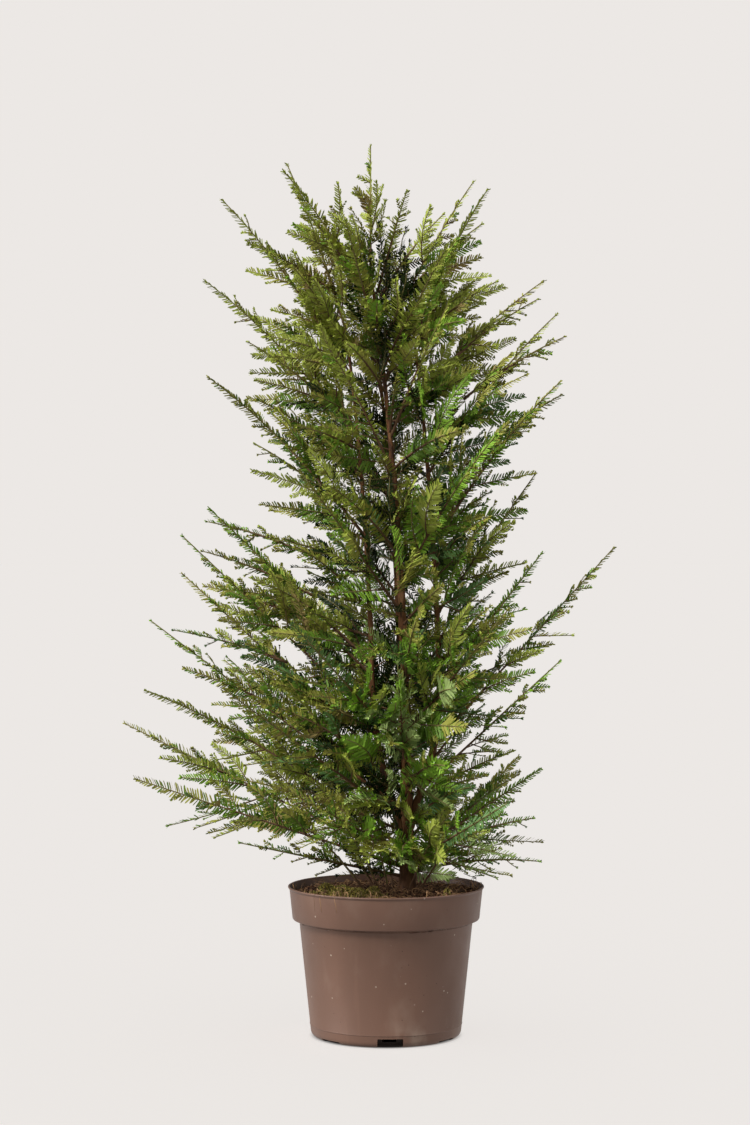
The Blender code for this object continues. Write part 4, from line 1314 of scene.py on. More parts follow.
def needles_on(twig, rng, settings):
    """Rows of root, direction, facing, length, width and tone for the needles of one twig."""
    whole = line_length(twig.line)
    middle = twig.line[len(twig.line) // 2]
    size, bare = SPRAYS[zone_of(middle)]
    bare = max(twig.leafy_from, bare)
    count = 2 * max(NEEDLE_FEWEST, int(whole * (1 - bare) / settings.needle_pitch))
    size *= min(1.0, SHORT_TWIG_SIZE + whole / FULL_SIZE_REACH) * ORDER_SIZES[twig.order]
    size *= 1 + FRONT_SIZE * smooth_share((-middle[1] - FRONT_FROM) / FRONT_OVER)
    index = np.arange(count)
    share = bare + (1 - bare) * (index + rng.uniform(*NEEDLE_SPACING, count)) / count
    side = np.where(index % 2, 1.0, -1.0)
    points, tangents = along(twig.line, share)
    face = unit(twig.facing - tangents * (tangents @ twig.facing)[:, None])
    across = np.cross(tangents, face)
    ending = np.clip(1 - (1 - share) * whole / ENDING_REACH, 0.0, 1.0)
    lean = np.radians(LEAN - LEAN_ENDING * ending + rng.normal(0.0, LEAN_VARIES, count))
    raised_ending = 0.0 if twig.order == 2 else RAISED_ENDING
    raised = np.radians(RAISED + raised_ending * ending + rng.normal(0.0, RAISED_VARIES, count))
    outward = across * (side * np.cos(raised))[:, None] + face * np.sin(raised)[:, None]
    direction = unit(tangents * np.cos(lean)[:, None] + outward * np.sin(lean)[:, None])
    normal = unit(face - direction * np.sum(face * direction, axis=1)[:, None])
    roll = rng.normal(0.0, ROLL_VARIES, count) + side * ROLL_SIDE
    normal = normal * np.cos(roll)[:, None] + np.cross(direction, normal) * np.sin(roll)[:, None]
    grown = np.minimum(1.0, START_LENGTH + START_GROWTH * share)
    profile = grown * (1 - ENDING_SHRINK * ending**ENDING_POWER)
    lengths = settings.needle_length * size * profile * rng.uniform(*LENGTH_VARIES, count)
    full = lengths / settings.needle_length
    widths = settings.needle_width * (WIDTH_FIXED + WIDTH_GROWS * full) * rng.uniform(*WIDTH_VARIES, count)
    younger = (share > YOUNG_FROM) & (rng.uniform(size=count) < YOUNG_CHANCE)
    tones = np.where(younger, YOUNGER[twig.tone], twig.tone)
    rows = [points, direction, normal, lengths, widths, tones]
    return [np.concatenate(pair) for pair in zip(rows, tuft_on(twig, rng, settings, size))]


def tuft_on(twig, rng, settings, size):
    """The few short needles round a twig's tip, in the same rows."""
    count = TUFT_NEEDLES
    points, tangents = along(twig.line, 1 - rng.uniform(0.0, TUFT_DEPTH, count))
    turn = np.arange(count) * (math.tau / count) + rng.uniform(0, 1)
    face = unit(twig.facing - tangents * (tangents @ twig.facing)[:, None])
    across = np.cross(tangents, face)
    outward = across * np.cos(turn)[:, None] + face * np.sin(turn)[:, None]
    lean = np.radians(rng.uniform(*TUFT_LEAN, count))
    direction = unit(tangents * np.cos(lean)[:, None] + outward * np.sin(lean)[:, None])
    normal = unit(outward - direction * np.sum(outward * direction, axis=1)[:, None])
    lengths = settings.needle_length * size * rng.uniform(*TUFT_LENGTH, count)
    widths = np.full(count, settings.needle_width * TUFT_WIDTH)
    return [points, direction, normal, lengths, widths, np.full(count, YOUNGER[twig.tone])]


def needle_mesh(name, rows, materials):
    """One mesh of all the needles in the rows, each a slim blade of three faces in its own outline."""
    points, direction, normal, lengths, widths, tones = rows
    across = np.cross(direction, normal)
    along_it = direction[:, None] * (NEEDLE_OUTLINE[None, :, 0:1] * lengths[:, None, None])
    aside = across[:, None] * (NEEDLE_OUTLINE[None, :, 1:2] * widths[:, None, None] / 2)
    droop = normal[:, None] * (NEEDLE_OUTLINE[None, :, 2:3] * lengths[:, None, None])
    corners = (points[:, None] + along_it + aside - droop).reshape(-1, 3)
    first = np.arange(len(points)) * len(NEEDLE_OUTLINE)
    loops = np.concatenate([first[:, None] + face for face in NEEDLE_FACES], axis=1).ravel()
    sizes = np.tile([len(face) for face in NEEDLE_FACES], len(points))
    slots = np.repeat(tones, len(NEEDLE_FACES))
    return mesh_of(name, corners, loops, sizes, slots, materials)


def mesh_of(name, corners, loops, sizes, slots, materials, smooth=True):
    """A mesh from arrays: its points, all faces' corners in one row, each face's size and its slot."""
    mesh = bpy.data.meshes.new(name)
    mesh.vertices.add(len(corners))
    mesh.vertices.foreach_set("co", np.asarray(corners, np.float32).ravel())
    mesh.loops.add(len(loops))
    mesh.loops.foreach_set("vertex_index", np.asarray(loops, np.int32))
    mesh.polygons.add(len(sizes))
    mesh.polygons.foreach_set("loop_start", np.concatenate(([0], np.cumsum(sizes)[:-1])).astype(np.int32))
    for surface in materials:
        mesh.materials.append(surface)
    mesh.polygons.foreach_set("material_index", np.asarray(slots, np.int32))
    mesh.polygons.foreach_set("use_smooth", np.full(len(sizes), smooth))
    mesh.update(calc_edges=True)
    mesh.validate()
    return mesh


def tube_arrays(lines, feet, tips, sides):
    """Closed, tapering tubes along lines with equally many points.

    Returns their points, the faces' corners, the faces' sizes, and the number of faces of each tube.
    """
    lines = np.asarray(lines)
    number, rings = lines.shape[:2]
    tangents = unit(np.gradient(lines, axis=1))
    helper = np.where(np.abs(tangents[..., 2:3]) < STEEP, UP, np.array((1.0, 0.0, 0.0)))
    across = unit(np.cross(helper, tangents))
    up = np.cross(tangents, across)
    turn = np.arange(sides) * math.tau / sides
    share = np.linspace(0.0, 1.0, rings)[None, :, None, None]
    radii = feet[:, None, None, None] * (1 - share) + tips[:, None, None, None] * share
    ring = across[:, :, None] * np.cos(turn)[:, None] + up[:, :, None] * np.sin(turn)[:, None]
    corners = lines[:, :, None] + ring * radii
    base = (np.arange(number) * rings * sides)[:, None, None, None]
    low = (np.arange(rings - 1) * sides)[None, :, None, None]
    here, after = np.arange(sides), (np.arange(sides) + 1) % sides
    quad = np.stack((here, after, after + sides, here + sides), axis=1)[None, None]
    walls = (base + low + quad).reshape(number, -1)
    foot = base.reshape(number, 1) + here[::-1]
    tip = base.reshape(number, 1) + (rings - 1) * sides + here
    loops = np.concatenate((walls, foot, tip), axis=1).ravel()
    sizes = np.tile([4] * ((rings - 1) * sides) + [sides, sides], number)
    return corners.reshape(-1, 3), loops, sizes, (rings - 1) * sides + 2


# Making pieces


def add_piece(name, mesh, slot, *nodes):
    """A finished piece: it rides on the plant's one body, and stands for the CAD nodes named."""
    made = bpy.data.objects.new(name, mesh)
    bpy.context.scene.collection.objects.link(made)
    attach(made, "root")
    if nodes:
        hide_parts(*nodes)
    return made


def mesh_from_shape(name, shape, *materials):
    """A mesh of a finished shape, which is freed.

    Points are in the order of their places, and each face starts at its first point, so that every
    run gives the same mesh.
    """
    ordered = sorted(shape.verts, key=lambda vert: tuple(vert.co))
    corners = [tuple(vert.co) for vert in ordered]
    number = {vert: place for place, vert in enumerate(ordered)}
    faces = sorted(from_lowest([number[vert] for vert in face.verts]) for face in shape.faces)
    shape.free()
    sizes = [len(face) for face in faces]
    return mesh_of(name, corners, np.concatenate(faces), sizes, np.zeros(len(faces)), materials, False)


def from_lowest(face):
    """The corners of a face in their turn, from the lowest number on."""
    first = face.index(min(face))
    return face[first:] + face[:first]


def turned(outline, sides):
    """A closed shape turned about Z from an outline that starts and ends on the axis."""
    shape = bmesh.new()
    line = [shape.verts.new((radius, 0.0, height)) for radius, height in outline]
    edges = [shape.edges.new(pair) for pair in zip(line, line[1:])]
    about = {"cent": (0, 0, 0), "axis": (0, 0, 1), "angle": math.tau}
    bmesh.ops.spin(shape, geom=line + edges, **about, steps=sides, use_merge=True)
    bmesh.ops.remove_doubles(shape, verts=shape.verts, dist=MERGE_WITHIN)
    bmesh.ops.recalc_face_normals(shape, faces=shape.faces)
    return shape


def box_object(width, height, depth, azimuth, outer, base, rounding=0.0):
    """A box at the pot's foot, reaching inwards from an outer radius."""
    shape = bmesh.new()
    bmesh.ops.create_cube(shape, size=1.0)
    bmesh.ops.scale(shape, vec=(depth, width, height), verts=shape.verts)
    if rounding:
        steps = {"affect": "EDGES", "segments": 3, "profile": 0.5, "material": -1}
        bmesh.ops.bevel(shape, geom=shape.edges[:], offset=rounding, **steps)
    bmesh.ops.translate(shape, vec=(outer - depth / 2, 0.0, base + height / 2), verts=shape.verts)
    turn = Matrix.Rotation(math.radians(azimuth), 3, "Z")
    bmesh.ops.rotate(shape, cent=(0, 0, 0), matrix=turn, verts=shape.verts)
    return helper_object(mesh_from_shape("helper", shape))


def helper_object(mesh):
    """An object that a Boolean uses and removes."""
    made = bpy.data.objects.new("helper", mesh)
    bpy.context.scene.collection.objects.link(made)
    return made


def combine(mesh, others, operation):
    """The mesh after one Boolean with the other objects, which are removed."""
    base = helper_object(mesh)
    group = bpy.data.collections.new("helpers")
    for other in others:
        group.objects.link(other)
    modifier = base.modifiers.new("cut", "BOOLEAN")
    modifier.operation = operation
    modifier.solver = "EXACT"
    modifier.operand_type = "COLLECTION"
    modifier.collection = group
    made = bpy.data.meshes.new_from_object(base.evaluated_get(bpy.context.evaluated_depsgraph_get()))
    for other in [*others, base]:
        bpy.data.objects.remove(other)
    bpy.data.collections.remove(group)
    return made


def pot_outline():
    """The pot's wall from the middle of its underside, up its outer side and down its inner side."""
    band_foot = POT_HEIGHT - RIM_BAND_HEIGHT

    def wall(height):
        share = (height - FOOT_ROUNDING) / (band_foot - STEP_DROP - FOOT_ROUNDING)
        return BODY_FOOT_RADIUS + (BODY_TOP_RADIUS - BODY_FOOT_RADIUS) * share

    ridge = DRAIN_HEIGHT + RIDGE_ABOVE_DRAIN
    outer = [
        (0.0, 0.0),
        *foot_points(0.0),
        (wall(ridge - RIDGE_FOOT), ridge - RIDGE_FOOT),
        (wall(ridge) + RIDGE_OUT, ridge - RIDGE_HALF),
        (wall(ridge) + RIDGE_OUT, ridge + RIDGE_HALF),
        (wall(ridge + RIDGE_TOP), ridge + RIDGE_TOP),
        (wall(WAIST), WAIST),
        (BODY_TOP_RADIUS, band_foot - STEP_DROP),
        (BODY_TOP_RADIUS + STEP_FLARE, band_foot - STEP_DROP * STEP_FLARE_SHARE),
        *((RIM_FOOT_RADIUS - inside, band_foot + above) for inside, above in BAND_FOOT),
        *((RIM_RADIUS - inside, POT_HEIGHT - below) for inside, below in LIP),
    ]
    inner_foot = BODY_FOOT_RADIUS - WALL
    inner = [
        *((RIM_RADIUS - inside - WALL, POT_HEIGHT - below) for inside, below in LIP_INSIDE),
        (RIM_FOOT_RADIUS - WALL, band_foot + BAND_INSIDE_RISE),
        (BODY_TOP_RADIUS - WALL, band_foot - STEP_DROP),
        (inner_foot, WALL + FOOT_ROUNDING / 2),
        (inner_foot - FOOT_ROUNDING / 2, WALL),
        (0.0, WALL),
    ]
    return outer + inner


def foot_points(inset):
    """Points round the pot's rounded foot, drawn in from its outer side by an inset."""
    middle = BODY_FOOT_RADIUS - FOOT_ROUNDING - inset
    points = []
    for step in range(FOOT_STEPS + 1):
        turn = math.radians(90 / FOOT_STEPS * step)
        out, down = FOOT_ROUNDING * math.sin(turn), FOOT_ROUNDING * math.cos(turn)
        points.append((middle + out, FOOT_ROUNDING - down))
    return points


def housing_object(width, height, depth, azimuth, outer, base):
    """The box round a drainage recess, cut to stay under the foot's rounding."""
    box = box_object(width, height, depth, azimuth, outer, base)
    top = 2 * DRAIN_HEIGHT
    foot = [(0.0, 0.0), *foot_points(WALL / 2), (BODY_FOOT_RADIUS - WALL / 2, top), (0.0, top)]
    limit = helper_object(mesh_from_shape("limit", turned(foot, LIMIT_SIDES)))
    mesh = combine(box.data, [limit], "INTERSECT")
    bpy.data.objects.remove(box)
    return helper_object(mesh)


def build_pot(settings):
    """The thin-walled pot with its rim band, step, faint ridge and drainage recesses."""
    mesh = mesh_from_shape("pot_shell", turned(pot_outline(), settings.sides))
    recess_inside = BODY_FOOT_RADIUS - DRAIN_DEPTH
    wall_middle = BODY_FOOT_RADIUS - WALL / 2
    inwards, beyond = wall_middle - recess_inside + 2 * WALL, wall_middle + WALL
    over = CUT_OVERREACH
    housings, recesses = [], []
    for step in range(DRAIN_COUNT):
        turn = DRAIN_FIRST_AZIMUTH + 360.0 * step / DRAIN_COUNT
        tall = DRAIN_HEIGHT if step in DRAIN_TALL else DRAIN_LOW_HEIGHT
        size = (DRAIN_WIDTH + 2 * WALL, tall + WALL / 2, inwards)
        housings.append(housing_object(*size, turn, beyond, WALL / 2))
        size = (DRAIN_WIDTH, tall + over, DRAIN_DEPTH + 2 * over)
        recesses.append(box_object(*size, turn, BODY_FOOT_RADIUS + 2 * over, -over, RECESS_ROUNDING))
        if tall == DRAIN_HEIGHT:
            size = (DRAIN_SLOT_WIDTH, DRAIN_SLOT_HEIGHT, 2 * over)
            recesses.append(box_object(*size, turn, recess_inside + over, DRAIN_HEIGHT / 3, SLOT_ROUNDING))
    mesh = combine(mesh, housings, "UNION")
    mesh = combine(mesh, recesses, "DIFFERENCE")
    mesh.materials.clear()
    mesh.materials.append(plastic_finish(settings))
    mesh.shade_smooth()
    mesh.set_sharp_from_angle(angle=math.radians(SHARP_FROM))
    add_piece("pot_shell", mesh, "pot_plastic", "pot")


def soil_surface(x, y):
    """The height of the soil's lumpy surface."""
    rise = SOIL_MOUND * MOUND_SHARE
    mound = SOIL_TOP + SOIL_LIFT + rise - rise * (math.hypot(x, y) / MOUND_RADIUS) ** 2
    place = Vector((x, y, 0.0))
    for rows in (SOIL_LUMPS, SOIL_CRUMBS):
        mound += sum(noise.noise(place * scale) * height for scale, height in rows)
    return mound


def build_soil(settings):
    """The potting soil, with a lumpy top that ends just inside the wall."""
    share = (SOIL_TOP - SOIL_BAND_FOOT) / (POT_HEIGHT - SOIL_BAND_FOOT)
    edge = RIM_FOOT_RADIUS - WALL + (RIM_RADIUS - RIM_FOOT_RADIUS) * share - SOIL_EDGE_GAP
    body = [
        (0.0, SOIL_FLOOR),
        (SOIL_FLOOR_RADIUS, SOIL_FLOOR),
        (BODY_TOP_RADIUS - WALL - SOIL_GAP, SOIL_STEP_FOOT),
        (RIM_FOOT_RADIUS - WALL - SOIL_GAP, SOIL_STEP_TOP),
    ]
    top = [(edge * (1 - step / SOIL_RINGS), SOIL_TOP) for step in range(SOIL_RINGS + 1)]
    shape = turned(body + top, SOIL_SIDES)
    for vert in shape.verts:
        if vert.co.z > SOIL_TOP - LEVEL_WITHIN:
            vert.co.z = soil_surface(vert.co.x, vert.co.y)
    mesh = mesh_from_shape("soil_bed", shape, soil_finish(settings))
    mesh.shade_smooth()
    add_piece("soil_bed", mesh, "potting_soil", "soil")


def spots(rng, count, radius):
    """Places spread over the soil's surface."""
    distance = radius * np.sqrt(rng.uniform(size=count))
    turn = rng.uniform(0, math.tau, count)
    x, y = distance * np.cos(turn), distance * np.sin(turn)
    return np.stack((x, y, [soil_surface(a, b) for a, b in zip(x, y)]), axis=1)


def build_crumbs(settings):
    """Crumbs of peat and bark that lie on the soil."""
    rng = np.random.default_rng(CRUMB_SEED)
    shape = bmesh.new()
    bmesh.ops.create_icosphere(shape, subdivisions=1, radius=1.0)
    ball = np.array([vert.co for vert in shape.verts])
    faces = np.array([[vert.index for vert in face.verts] for face in shape.faces])
    shape.free()
    places = spots(rng, CRUMBS, LITTER_RADIUS)
    sizes = np.minimum(rng.lognormal(math.log(CRUMB_RADIUS), CRUMB_VARIES, CRUMBS), CRUMB_LARGEST)
    stretch = rng.uniform(*CRUMB_STRETCH, (CRUMBS, 1, 3))
    rough = rng.uniform(*CRUMB_ROUGH, (CRUMBS, len(ball), 1))
    corners = places[:, None] + ball[None] * stretch * rough * sizes[:, None, None]
    loops = (np.arange(CRUMBS)[:, None, None] * len(ball) + faces[None]).ravel()
    slots = np.repeat(rng.choice(3, CRUMBS, p=CRUMB_SHARES), len(faces))
    base = Vector(settings.soil)
    tones = [base * 0.8, base * 1.9, Vector(settings.fibre) * 0.55]
    surfaces = shades("crumb", tones, roughness=0.95, specular=0.2)
    face_sizes = np.full(CRUMBS * len(faces), 3)
    mesh = mesh_of("soil_crumbs", corners.reshape(-1, 3), loops, face_sizes, slots, surfaces, False)
    add_piece("soil_crumbs", mesh, "potting_soil")


def build_fibres(settings):
    """Fine roots and straw lying over the soil, and a few that hang over the rim."""
    rng = np.random.default_rng(FIBRE_SEED)
    count = FIBRES
    places = spots(rng, count, FIBRE_SPREAD)
    turn = rng.uniform(0, math.tau, count)
    reach = rng.uniform(*FIBRE_LENGTH, count)
    curl = rng.normal(0.0, FIBRE_CURL, count)
    share = np.linspace(-0.5, 0.5, FIBRE_STEPS + 1)
    angle = turn[:, None] + curl[:, None] * share
    x = places[:, 0:1] + np.cos(angle) * share * reach[:, None]
    y = places[:, 1:2] + np.sin(angle) * share * reach[:, None]
    arch = rng.uniform(*FIBRE_ARCH, count)[:, None] * (1 - (2 * share) ** 2) + FIBRE_LIFT
    tilt = np.where(rng.uniform(size=count) < TILTED_SHARE, rng.uniform(*TILT, count), 0.0)
    z = places[:, 2:3] + arch + (tilt * reach)[:, None] * (share + 0.5)
    inside = np.hypot(x, y).max(axis=1) < LITTER_RADIUS
    lines = np.concatenate((np.stack((x, y, z), axis=2)[inside], rim_roots(rng)))
    feet = rng.uniform(*FIBRE_RADIUS, len(lines))
    corners, loops, sizes, each = tube_arrays(lines, feet, feet * FIBRE_TAPER, FIBRE_SIDES)
    slots = np.repeat(rng.choice(3, len(lines), p=FIBRE_SHARES), each)
    base = Vector(settings.fibre)
    tones = [base, base * 0.45, base * 1.5]
    surfaces = shades("fibre", tones, roughness=0.85, specular=0.3)
    add_piece("soil_fibres", mesh_of("soil_fibres", corners, loops, sizes, slots, surfaces), "potting_soil")


def rim_roots(rng):
    """Roots that stand up from the soil beside the rim, and a few that curl over it."""
    share = np.linspace(0.0, 1.0, FIBRE_STEPS + 1)
    azimuths = (*HANGING_ROOTS, *rng.uniform(*STANDING_ARC, STANDING_ROOTS))
    lines = []
    for number, azimuth in enumerate(azimuths):
        start = RIM_RADIUS - rng.uniform(*ROOT_INSIDE)
        if number < len(HANGING_ROOTS):
            reach, rise, drop = HANGING_SIZE
        else:
            reach, rise, drop = (rng.uniform(*ends) for ends in STANDING_SIZES)
        turn = np.radians(azimuth + rng.uniform(*ROOT_CURL) * share + rng.normal(0, ROOT_VARIES))
        distance = start + reach * np.minimum(1.0, share * ROOT_OUT_BY)
        swing = np.sin(np.minimum(share * ROOT_UP_BY, 1.0) * math.pi / ROOT_UP_BY)
        height = SOIL_TOP + ROOT_LIFT + rise * swing * ROOT_HEIGHT - drop * share**3
        lines.append(np.stack((distance * np.cos(turn), distance * np.sin(turn), height), axis=1))
    return np.array(lines)


def build_moss(settings):
    """A cushion of moss at the left of the pot: short blades that stand up from low mounds."""
    rng = np.random.default_rng(MOSS_SEED)
    middles, radii = np.array(MOSS_MIDDLES), np.array(MOSS_RADII)
    clump = rng.choice(len(middles), MOSS_BLADES, p=MOSS_SHARES)
    flat = middles[clump] + rng.normal(0.0, 1.0, (MOSS_BLADES, 2)) * radii[clump][:, None] * MOSS_SPREAD
    keep = np.hypot(flat[:, 0], flat[:, 1]) < MOSS_EDGE
    flat, clump = flat[keep], clump[keep]
    near = np.linalg.norm(flat - middles[clump], axis=1) / radii[clump]
    height = np.maximum(0.0, 1 - near**2) * MOSS_MOUND
    places = np.stack((flat[:, 0], flat[:, 1], [soil_surface(*p) for p in flat] + height), axis=1)
    count = len(places)
    direction = unit(rng.normal(0.0, MOSS_LEAN, (count, 3)) * (1.0, 1.0, 0.0) + UP)
    normal = unit(np.cross(direction, rng.normal(0.0, 1.0, (count, 3))))
    lengths = rng.uniform(*MOSS_LENGTH, count)
    rows = [places, direction, normal, lengths, lengths * MOSS_WIDTH, rng.choice(3, count, p=MOSS_TONES)]
    base = Vector(settings.moss)
    tones = [base, base * 0.5, Vector((base.x * 1.6, base.y * 1.55, base.z))]
    surfaces = shades("moss", tones, roughness=0.8, specular=0.3)
    add_piece("moss", needle_mesh("moss", rows, surfaces), "potting_soil")


# Bark


def spline(limb, count):
    """A limb's points and radii on a smooth curve through them, at even steps."""
    points = np.column_stack((limb.points, limb.radii))
    padded = np.vstack((2 * points[0] - points[1], points, 2 * points[-1] - points[-2]))
    reached = np.concatenate(([0.0], np.cumsum(np.linalg.norm(np.diff(limb.points, axis=0), axis=1))))
    wanted = np.linspace(0.0, reached[-1], count)
    index = np.clip(np.searchsorted(reached, wanted, side="right") - 1, 0, len(points) - 2)
    t = ((wanted - reached[index]) / (reached[index + 1] - reached[index]))[:, None]
    a, b, c, d = (padded[index + step] for step in range(4))
    smooth = 0.5 * (2 * b + (c - a) * t + (2 * a - 5 * b + 4 * c - d) * t**2 + (3 * b - a - 3 * c + d) * t**3)
    return Limb(smooth[:, :3], smooth[:, 3])


def skin(shape, limb, sides, relief, seed, lobes=0):
    """Adds a limb's bark to a shape: a ring of edges extruded along the limb, with the bark's relief."""
    rings = len(limb.points)
    tangents = unit(np.gradient(limb.points, axis=0))
    across = unit(np.cross(NEARLY_UP, tangents[0]))
    made = bmesh.ops.create_circle(shape, cap_ends=True, segments=sides, radius=1.0)
    verts = made["verts"]
    edges = [edge for edge in shape.edges if edge.verts[0] in verts and edge.verts[1] in verts]
    for ring in range(rings):
        if ring:
            grown = bmesh.ops.extrude_edge_only(shape, edges=edges)["geom"]
            edges = [item for item in grown if isinstance(item, bmesh.types.BMEdge)]
            made_from = dict(shape_links(grown))
            verts = [made_from[vert] for vert in verts]
        tangent = tangents[ring]
        if ring == 0 and lobes:
            tangent = UP
        across = unit(across - tangent * (across @ tangent))
        up = np.cross(tangent, across)
        centre, radius = limb.points[ring], limb.radii[ring]
        bulge = max(0.0, radius / TRUNK_RADIUS - 1) if lobes else 0.0
        for side, vert in enumerate(verts):
            turn = math.tau * side / sides
            distance = radius * (1 + FLARE_LOBING * bulge * math.cos(lobes * turn + FLARE_TURN))
            distance += relief * bark_relief(turn, centre[2] + RELIEF_APART * seed, radius, seed)
            vert.co = centre + (across * math.cos(turn) + up * math.sin(turn)) * distance
    shape.faces.new(verts)


def shape_links(grown):
    """Pairs of an old point and the new one that an extrusion made from it."""
    fresh = {item for item in grown if isinstance(item, bmesh.types.BMVert)}
    for vert in fresh:
        for edge in vert.link_edges:
            other = edge.other_vert(vert)
            if other not in fresh:
                yield other, vert


def bark_relief(turn, height, radius, seed):
    """From about -1 to 1: long plates and cracks along the limb, and a few knots."""
    around = Vector((math.cos(turn), math.sin(turn), 0.0)) * (radius * BARK_ROUND)
    plates = noise.noise(around * PLATES_ROUND + Vector((seed, 0.0, height * PLATES_ALONG)))
    split = noise.noise(around * CRACKS_ROUND + Vector((CRACKS_ASIDE, seed, height * CRACKS_ALONG)))
    cracks = max(0.0, 1 - abs(split) * CRACKS_SHARP)
    knots = noise.noise(around * KNOTS_ROUND + Vector((KNOTS_ASIDE, seed, height * KNOTS_ALONG)))
    return plates * PLATES_HEIGHT - cracks * CRACKS_DEPTH + max(0.0, knots - KNOTS_FROM) * KNOTS_HEIGHT


def build_bark(name, limb_list, sides, relief, surface, nodes):
    """The bark of some limbs in one piece. Each comes with the number of lobes of its flared foot."""
    shape = bmesh.new()
    for seed, (limb, lobes) in enumerate(limb_list):
        skin(shape, limb, sides, relief, seed, lobes)
    bmesh.ops.recalc_face_normals(shape, faces=shape.faces)
    mesh = mesh_from_shape(name, shape, surface)
    mesh.shade_smooth()
    add_piece(name, mesh, "yew_bark", *nodes)


def bough_limbs():
    """The bare foot of each bough, carried on a little into its mass."""
    found = []
    for name, line, bare, _, _ in branch_lines():
        if bare:
            stem = next(branch.stem for branch in BRANCHES if branch.name == name)
            start_radius = limbs()[stem].at_height(line[0][2])[2]
            foot = min(BOUGH_RADIUS, start_radius * CHILD_SHARE)
            points, _ = along(line, np.linspace(0.0, bare + BOUGH_OVERLAP, BOUGH_BARK_RINGS))
            radii = np.linspace(foot, BOUGH_TIP_RADIUS, BOUGH_BARK_RINGS)
            found.append((Limb(points, radii), 0))
    return found


def build_twigs(name, branches, wood):
    """All the twigs of some branches in one piece, old wood and young apart by their material."""
    surfaces = [
        plain_finish(f"{name}_old", wood.old_twig, roughness=0.75, specular=0.3),
        plain_finish(f"{name}_young", wood.young_twig, roughness=0.7, specular=0.3),
    ]
    corners, loops, sizes, slots, first = [], [], [], [], 0
    for order, (rings, sides, old) in enumerate(TWIG_ORDERS):
        chosen = [twig for branch in branches for twig in crown()[branch] if twig.order == order]
        if not chosen:
            continue
        lines = [along(twig.line, np.linspace(0.0, 1.0, rings))[0] for twig in chosen]
        feet, tips = (np.array([getattr(twig, end) for twig in chosen]) for end in ("foot", "tip"))
        points, face_corners, face_sizes, each = tube_arrays(lines, feet, tips, sides)
        corners.append(points)
        loops.append(face_corners + first)
        sizes.append(face_sizes)
        young_from = old * (rings - 1) * sides
        slots.append(np.tile(np.where(np.arange(each) < young_from, 0, 1), len(chosen)))
        first += len(points)
    mesh = mesh_of(name, *(np.concatenate(part) for part in (corners, loops, sizes, slots)), surfaces)
    add_piece(name, mesh, "yew_bark")


# Operators


class YEW_OT_pot(bpy.types.Operator):
    """Builds the pot"""

    bl_idname = "yew.pot"
    bl_label = "Pot"

    def execute(self, context):
        build_pot(context.scene.yew_pot)
        return {"FINISHED"}


class YEW_OT_soil(bpy.types.Operator):
    """Builds the soil, with its crumbs, fibres and moss"""

    bl_idname = "yew.soil"
    bl_label = "Soil"

    def execute(self, context):
        settings = context.scene.yew_pot
        build_soil(settings)
        build_crumbs(settings)
        build_fibres(settings)
        build_moss(settings)
        return {"FINISHED"}


class YEW_OT_wood(bpy.types.Operator):
    """Builds the trunk, the stems and the boughs with the relief of their bark"""

    bl_idname = "yew.wood"
    bl_label = "Trunk, stems and boughs"

    def execute(self, context):
        wood = context.scene.yew_wood
        grown = limbs()
        trunk = [(spline(grown["trunk"], TRUNK_BARK_RINGS), FLARE_LOBES)]
        stems = [(spline(grown[stem.name], STEM_BARK_RINGS), 0) for stem in STEMS]
        boughs = ["bough_" + branch.name for branch in BRANCHES if branch.bare]
        surface = bark_finish("yew_bark", wood)
        bough_surface = bark_finish("bough_bark", wood, BOUGH_SHADE)
        depth, stem_depth, bough_depth = (wood.relief * share for share in (1.0, STEM_RELIEF, BOUGH_RELIEF))
        build_bark("trunk_bark", trunk, TRUNK_BARK_SIDES, depth, surface, ["trunk"])
        build_bark("stem_bark", stems, STEM_BARK_SIDES, stem_depth, surface, [stem.name for stem in STEMS])
        build_bark("bough_bark", bough_limbs(), BOUGH_BARK_SIDES, bough_depth, bough_surface, boughs)
        return {"FINISHED"}


class YEW_OT_twigs(bpy.types.Operator):
    """Builds the twigs that grow on from the stems and boughs"""

    bl_idname = "yew.twigs"
    bl_label = "Twigs"

    def execute(self, context):
        for side in ("left", "right", "front", "back", "inner", "core"):
            branches = [name for group, names in GROUPS.items() if group.startswith(side) for name in names]
            build_twigs(f"twigs_{side}", branches, context.scene.yew_wood)
        return {"FINISHED"}


class YEW_OT_needles(bpy.types.Operator):
    """Builds the needles, group by group"""

    bl_idname = "yew.needles"
    bl_label = "Needles"

    def execute(self, context):
        settings = context.scene.yew_foliage
        looks = {"roughness": 0.5, "specular": 0.18}
        surfaces = [plain_finish(tone, getattr(settings, tone), **looks) for tone in TONES]
        for number, (group, branches) in enumerate(GROUPS.items()):
            rng = np.random.default_rng(NEEDLE_SEED + number)
            rows = [needles_on(twig, rng, settings) for branch in branches for twig in crown()[branch]]
            rows = [np.concatenate(column) for column in zip(*rows)]
            mesh = needle_mesh(f"needles_{group}", rows, surfaces)
            nodes = [] if group in ("inner", "core") else ["foliage_" + branch for branch in branches]
            add_piece(f"needles_{group}", mesh, "yew_needles", *nodes)
        return {"FINISHED"}


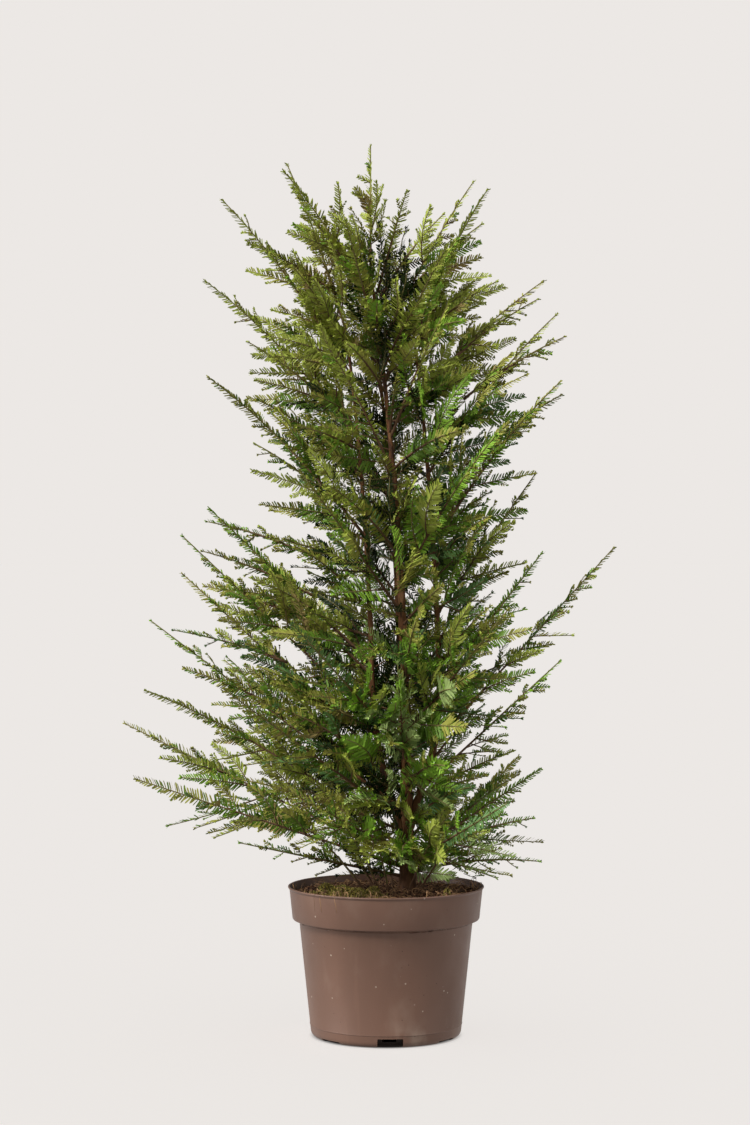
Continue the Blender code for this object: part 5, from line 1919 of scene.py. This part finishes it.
class YEW_OT_stage(bpy.types.Operator):
    """Builds the floor, the light and the camera"""

    bl_idname = "yew.stage"
    bl_label = "Stage"

    def execute(self, context):
        scene, settings = context.scene, context.scene.yew_stage
        shape = bmesh.new()
        bmesh.ops.create_circle(shape, cap_ends=True, segments=FLOOR_SIDES, radius=FLOOR_RADIUS)
        pale = Finish("floor", settings.floor, roughness=0.9, specular=0.0)
        lit = pale.radius().rising(BODY_FOOT_RADIUS - SHADE_INSIDE, BODY_FOOT_RADIUS + SHADE_OUTSIDE)
        pale.shade(**{
            "Base Color": pale.mixed(lit, FLOOR_SHADE, settings.floor),
            "Emission Color": pale.mixed(lit, FLOOR_SHADE, settings.floor_glow),
            "Emission Strength": 1.0,
        })
        floor = bpy.data.objects.new("floor", mesh_from_shape("floor", shape, pale.material))
        scene.collection.objects.link(floor)
        floor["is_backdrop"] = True
        floor.visible_diffuse = False
        world = bpy.data.worlds.new("studio")
        world.use_nodes = True
        nodes, links = world.node_tree.nodes, world.node_tree.links
        path, strength = nodes.new("ShaderNodeLightPath"), nodes.new("ShaderNodeMapRange")
        strength.inputs["To Min"].default_value = settings.fill
        links.new(path.outputs["Is Camera Ray"], strength.inputs["Value"])
        links.new(strength.outputs["Result"], nodes["Background"].inputs["Strength"])
        nodes["Background"].inputs["Color"].default_value = (*settings.backdrop, 1.0)
        scene.world = world
        shaded = bpy.data.collections.new("unlit_by_lamps")
        shaded.objects.link(floor)
        shaded.collection_objects[0].light_linking.link_state = "EXCLUDE"
        for name, strength, tilt, turn in LAMPS:
            light = bpy.data.lights.new(name, "SUN")
            light.energy, light.angle = getattr(settings, strength), math.radians(LAMP_ANGLE)
            lamp = bpy.data.objects.new(name, light)
            lamp.rotation_euler = (math.radians(tilt), 0.0, math.radians(turn))
            scene.collection.objects.link(lamp)
            lamp.light_linking.receiver_collection = shaded
        lens = bpy.data.cameras.new("camera")
        lens.lens, lens.clip_end = CAMERA_LENS, CAMERA_SEES
        camera = bpy.data.objects.new("camera", lens)
        camera.location = CAMERA_PLACE
        camera.rotation_euler = (math.radians(90), 0.0, 0.0)
        scene.collection.objects.link(camera)
        scene.camera = camera
        scene.view_settings.view_transform = "Standard"
        return {"FINISHED"}


class YEW_PT_panel(bpy.types.Panel):
    """Lists the steps that build the plant"""

    bl_idname = "YEW_PT_panel"
    bl_label = "Potted yew"
    bl_space_type = "VIEW_3D"
    bl_region_type = "UI"
    bl_category = "Yew"

    def draw(self, context):
        for step in STEPS:
            self.layout.operator(step.bl_idname)


STEPS = (YEW_OT_pot, YEW_OT_soil, YEW_OT_wood, YEW_OT_twigs, YEW_OT_needles, YEW_OT_stage)
SETTINGS = {
    "yew_foliage": YewFoliageSettings,
    "yew_wood": YewWoodSettings,
    "yew_pot": YewPotSettings,
    "yew_stage": YewStageSettings,
}
CLASSES = (*SETTINGS.values(), *STEPS, YEW_PT_panel)


def register():
    for item in CLASSES:
        bpy.utils.register_class(item)
    for name, kind in SETTINGS.items():
        setattr(bpy.types.Scene, name, PointerProperty(type=kind))


def unregister():
    for name in SETTINGS:
        delattr(bpy.types.Scene, name)
    for item in reversed(CLASSES):
        bpy.utils.unregister_class(item)


def main():
    register()
    for step in STEPS:
        group, name = step.bl_idname.split(".")
        getattr(getattr(bpy.ops, group), name)()
    boxes = {"cad": CAD_BOX, "visual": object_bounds()}
    {name: [list(corner) for corner in box] for name, box in boxes.items()}


if __name__ == "__main__":
    main()
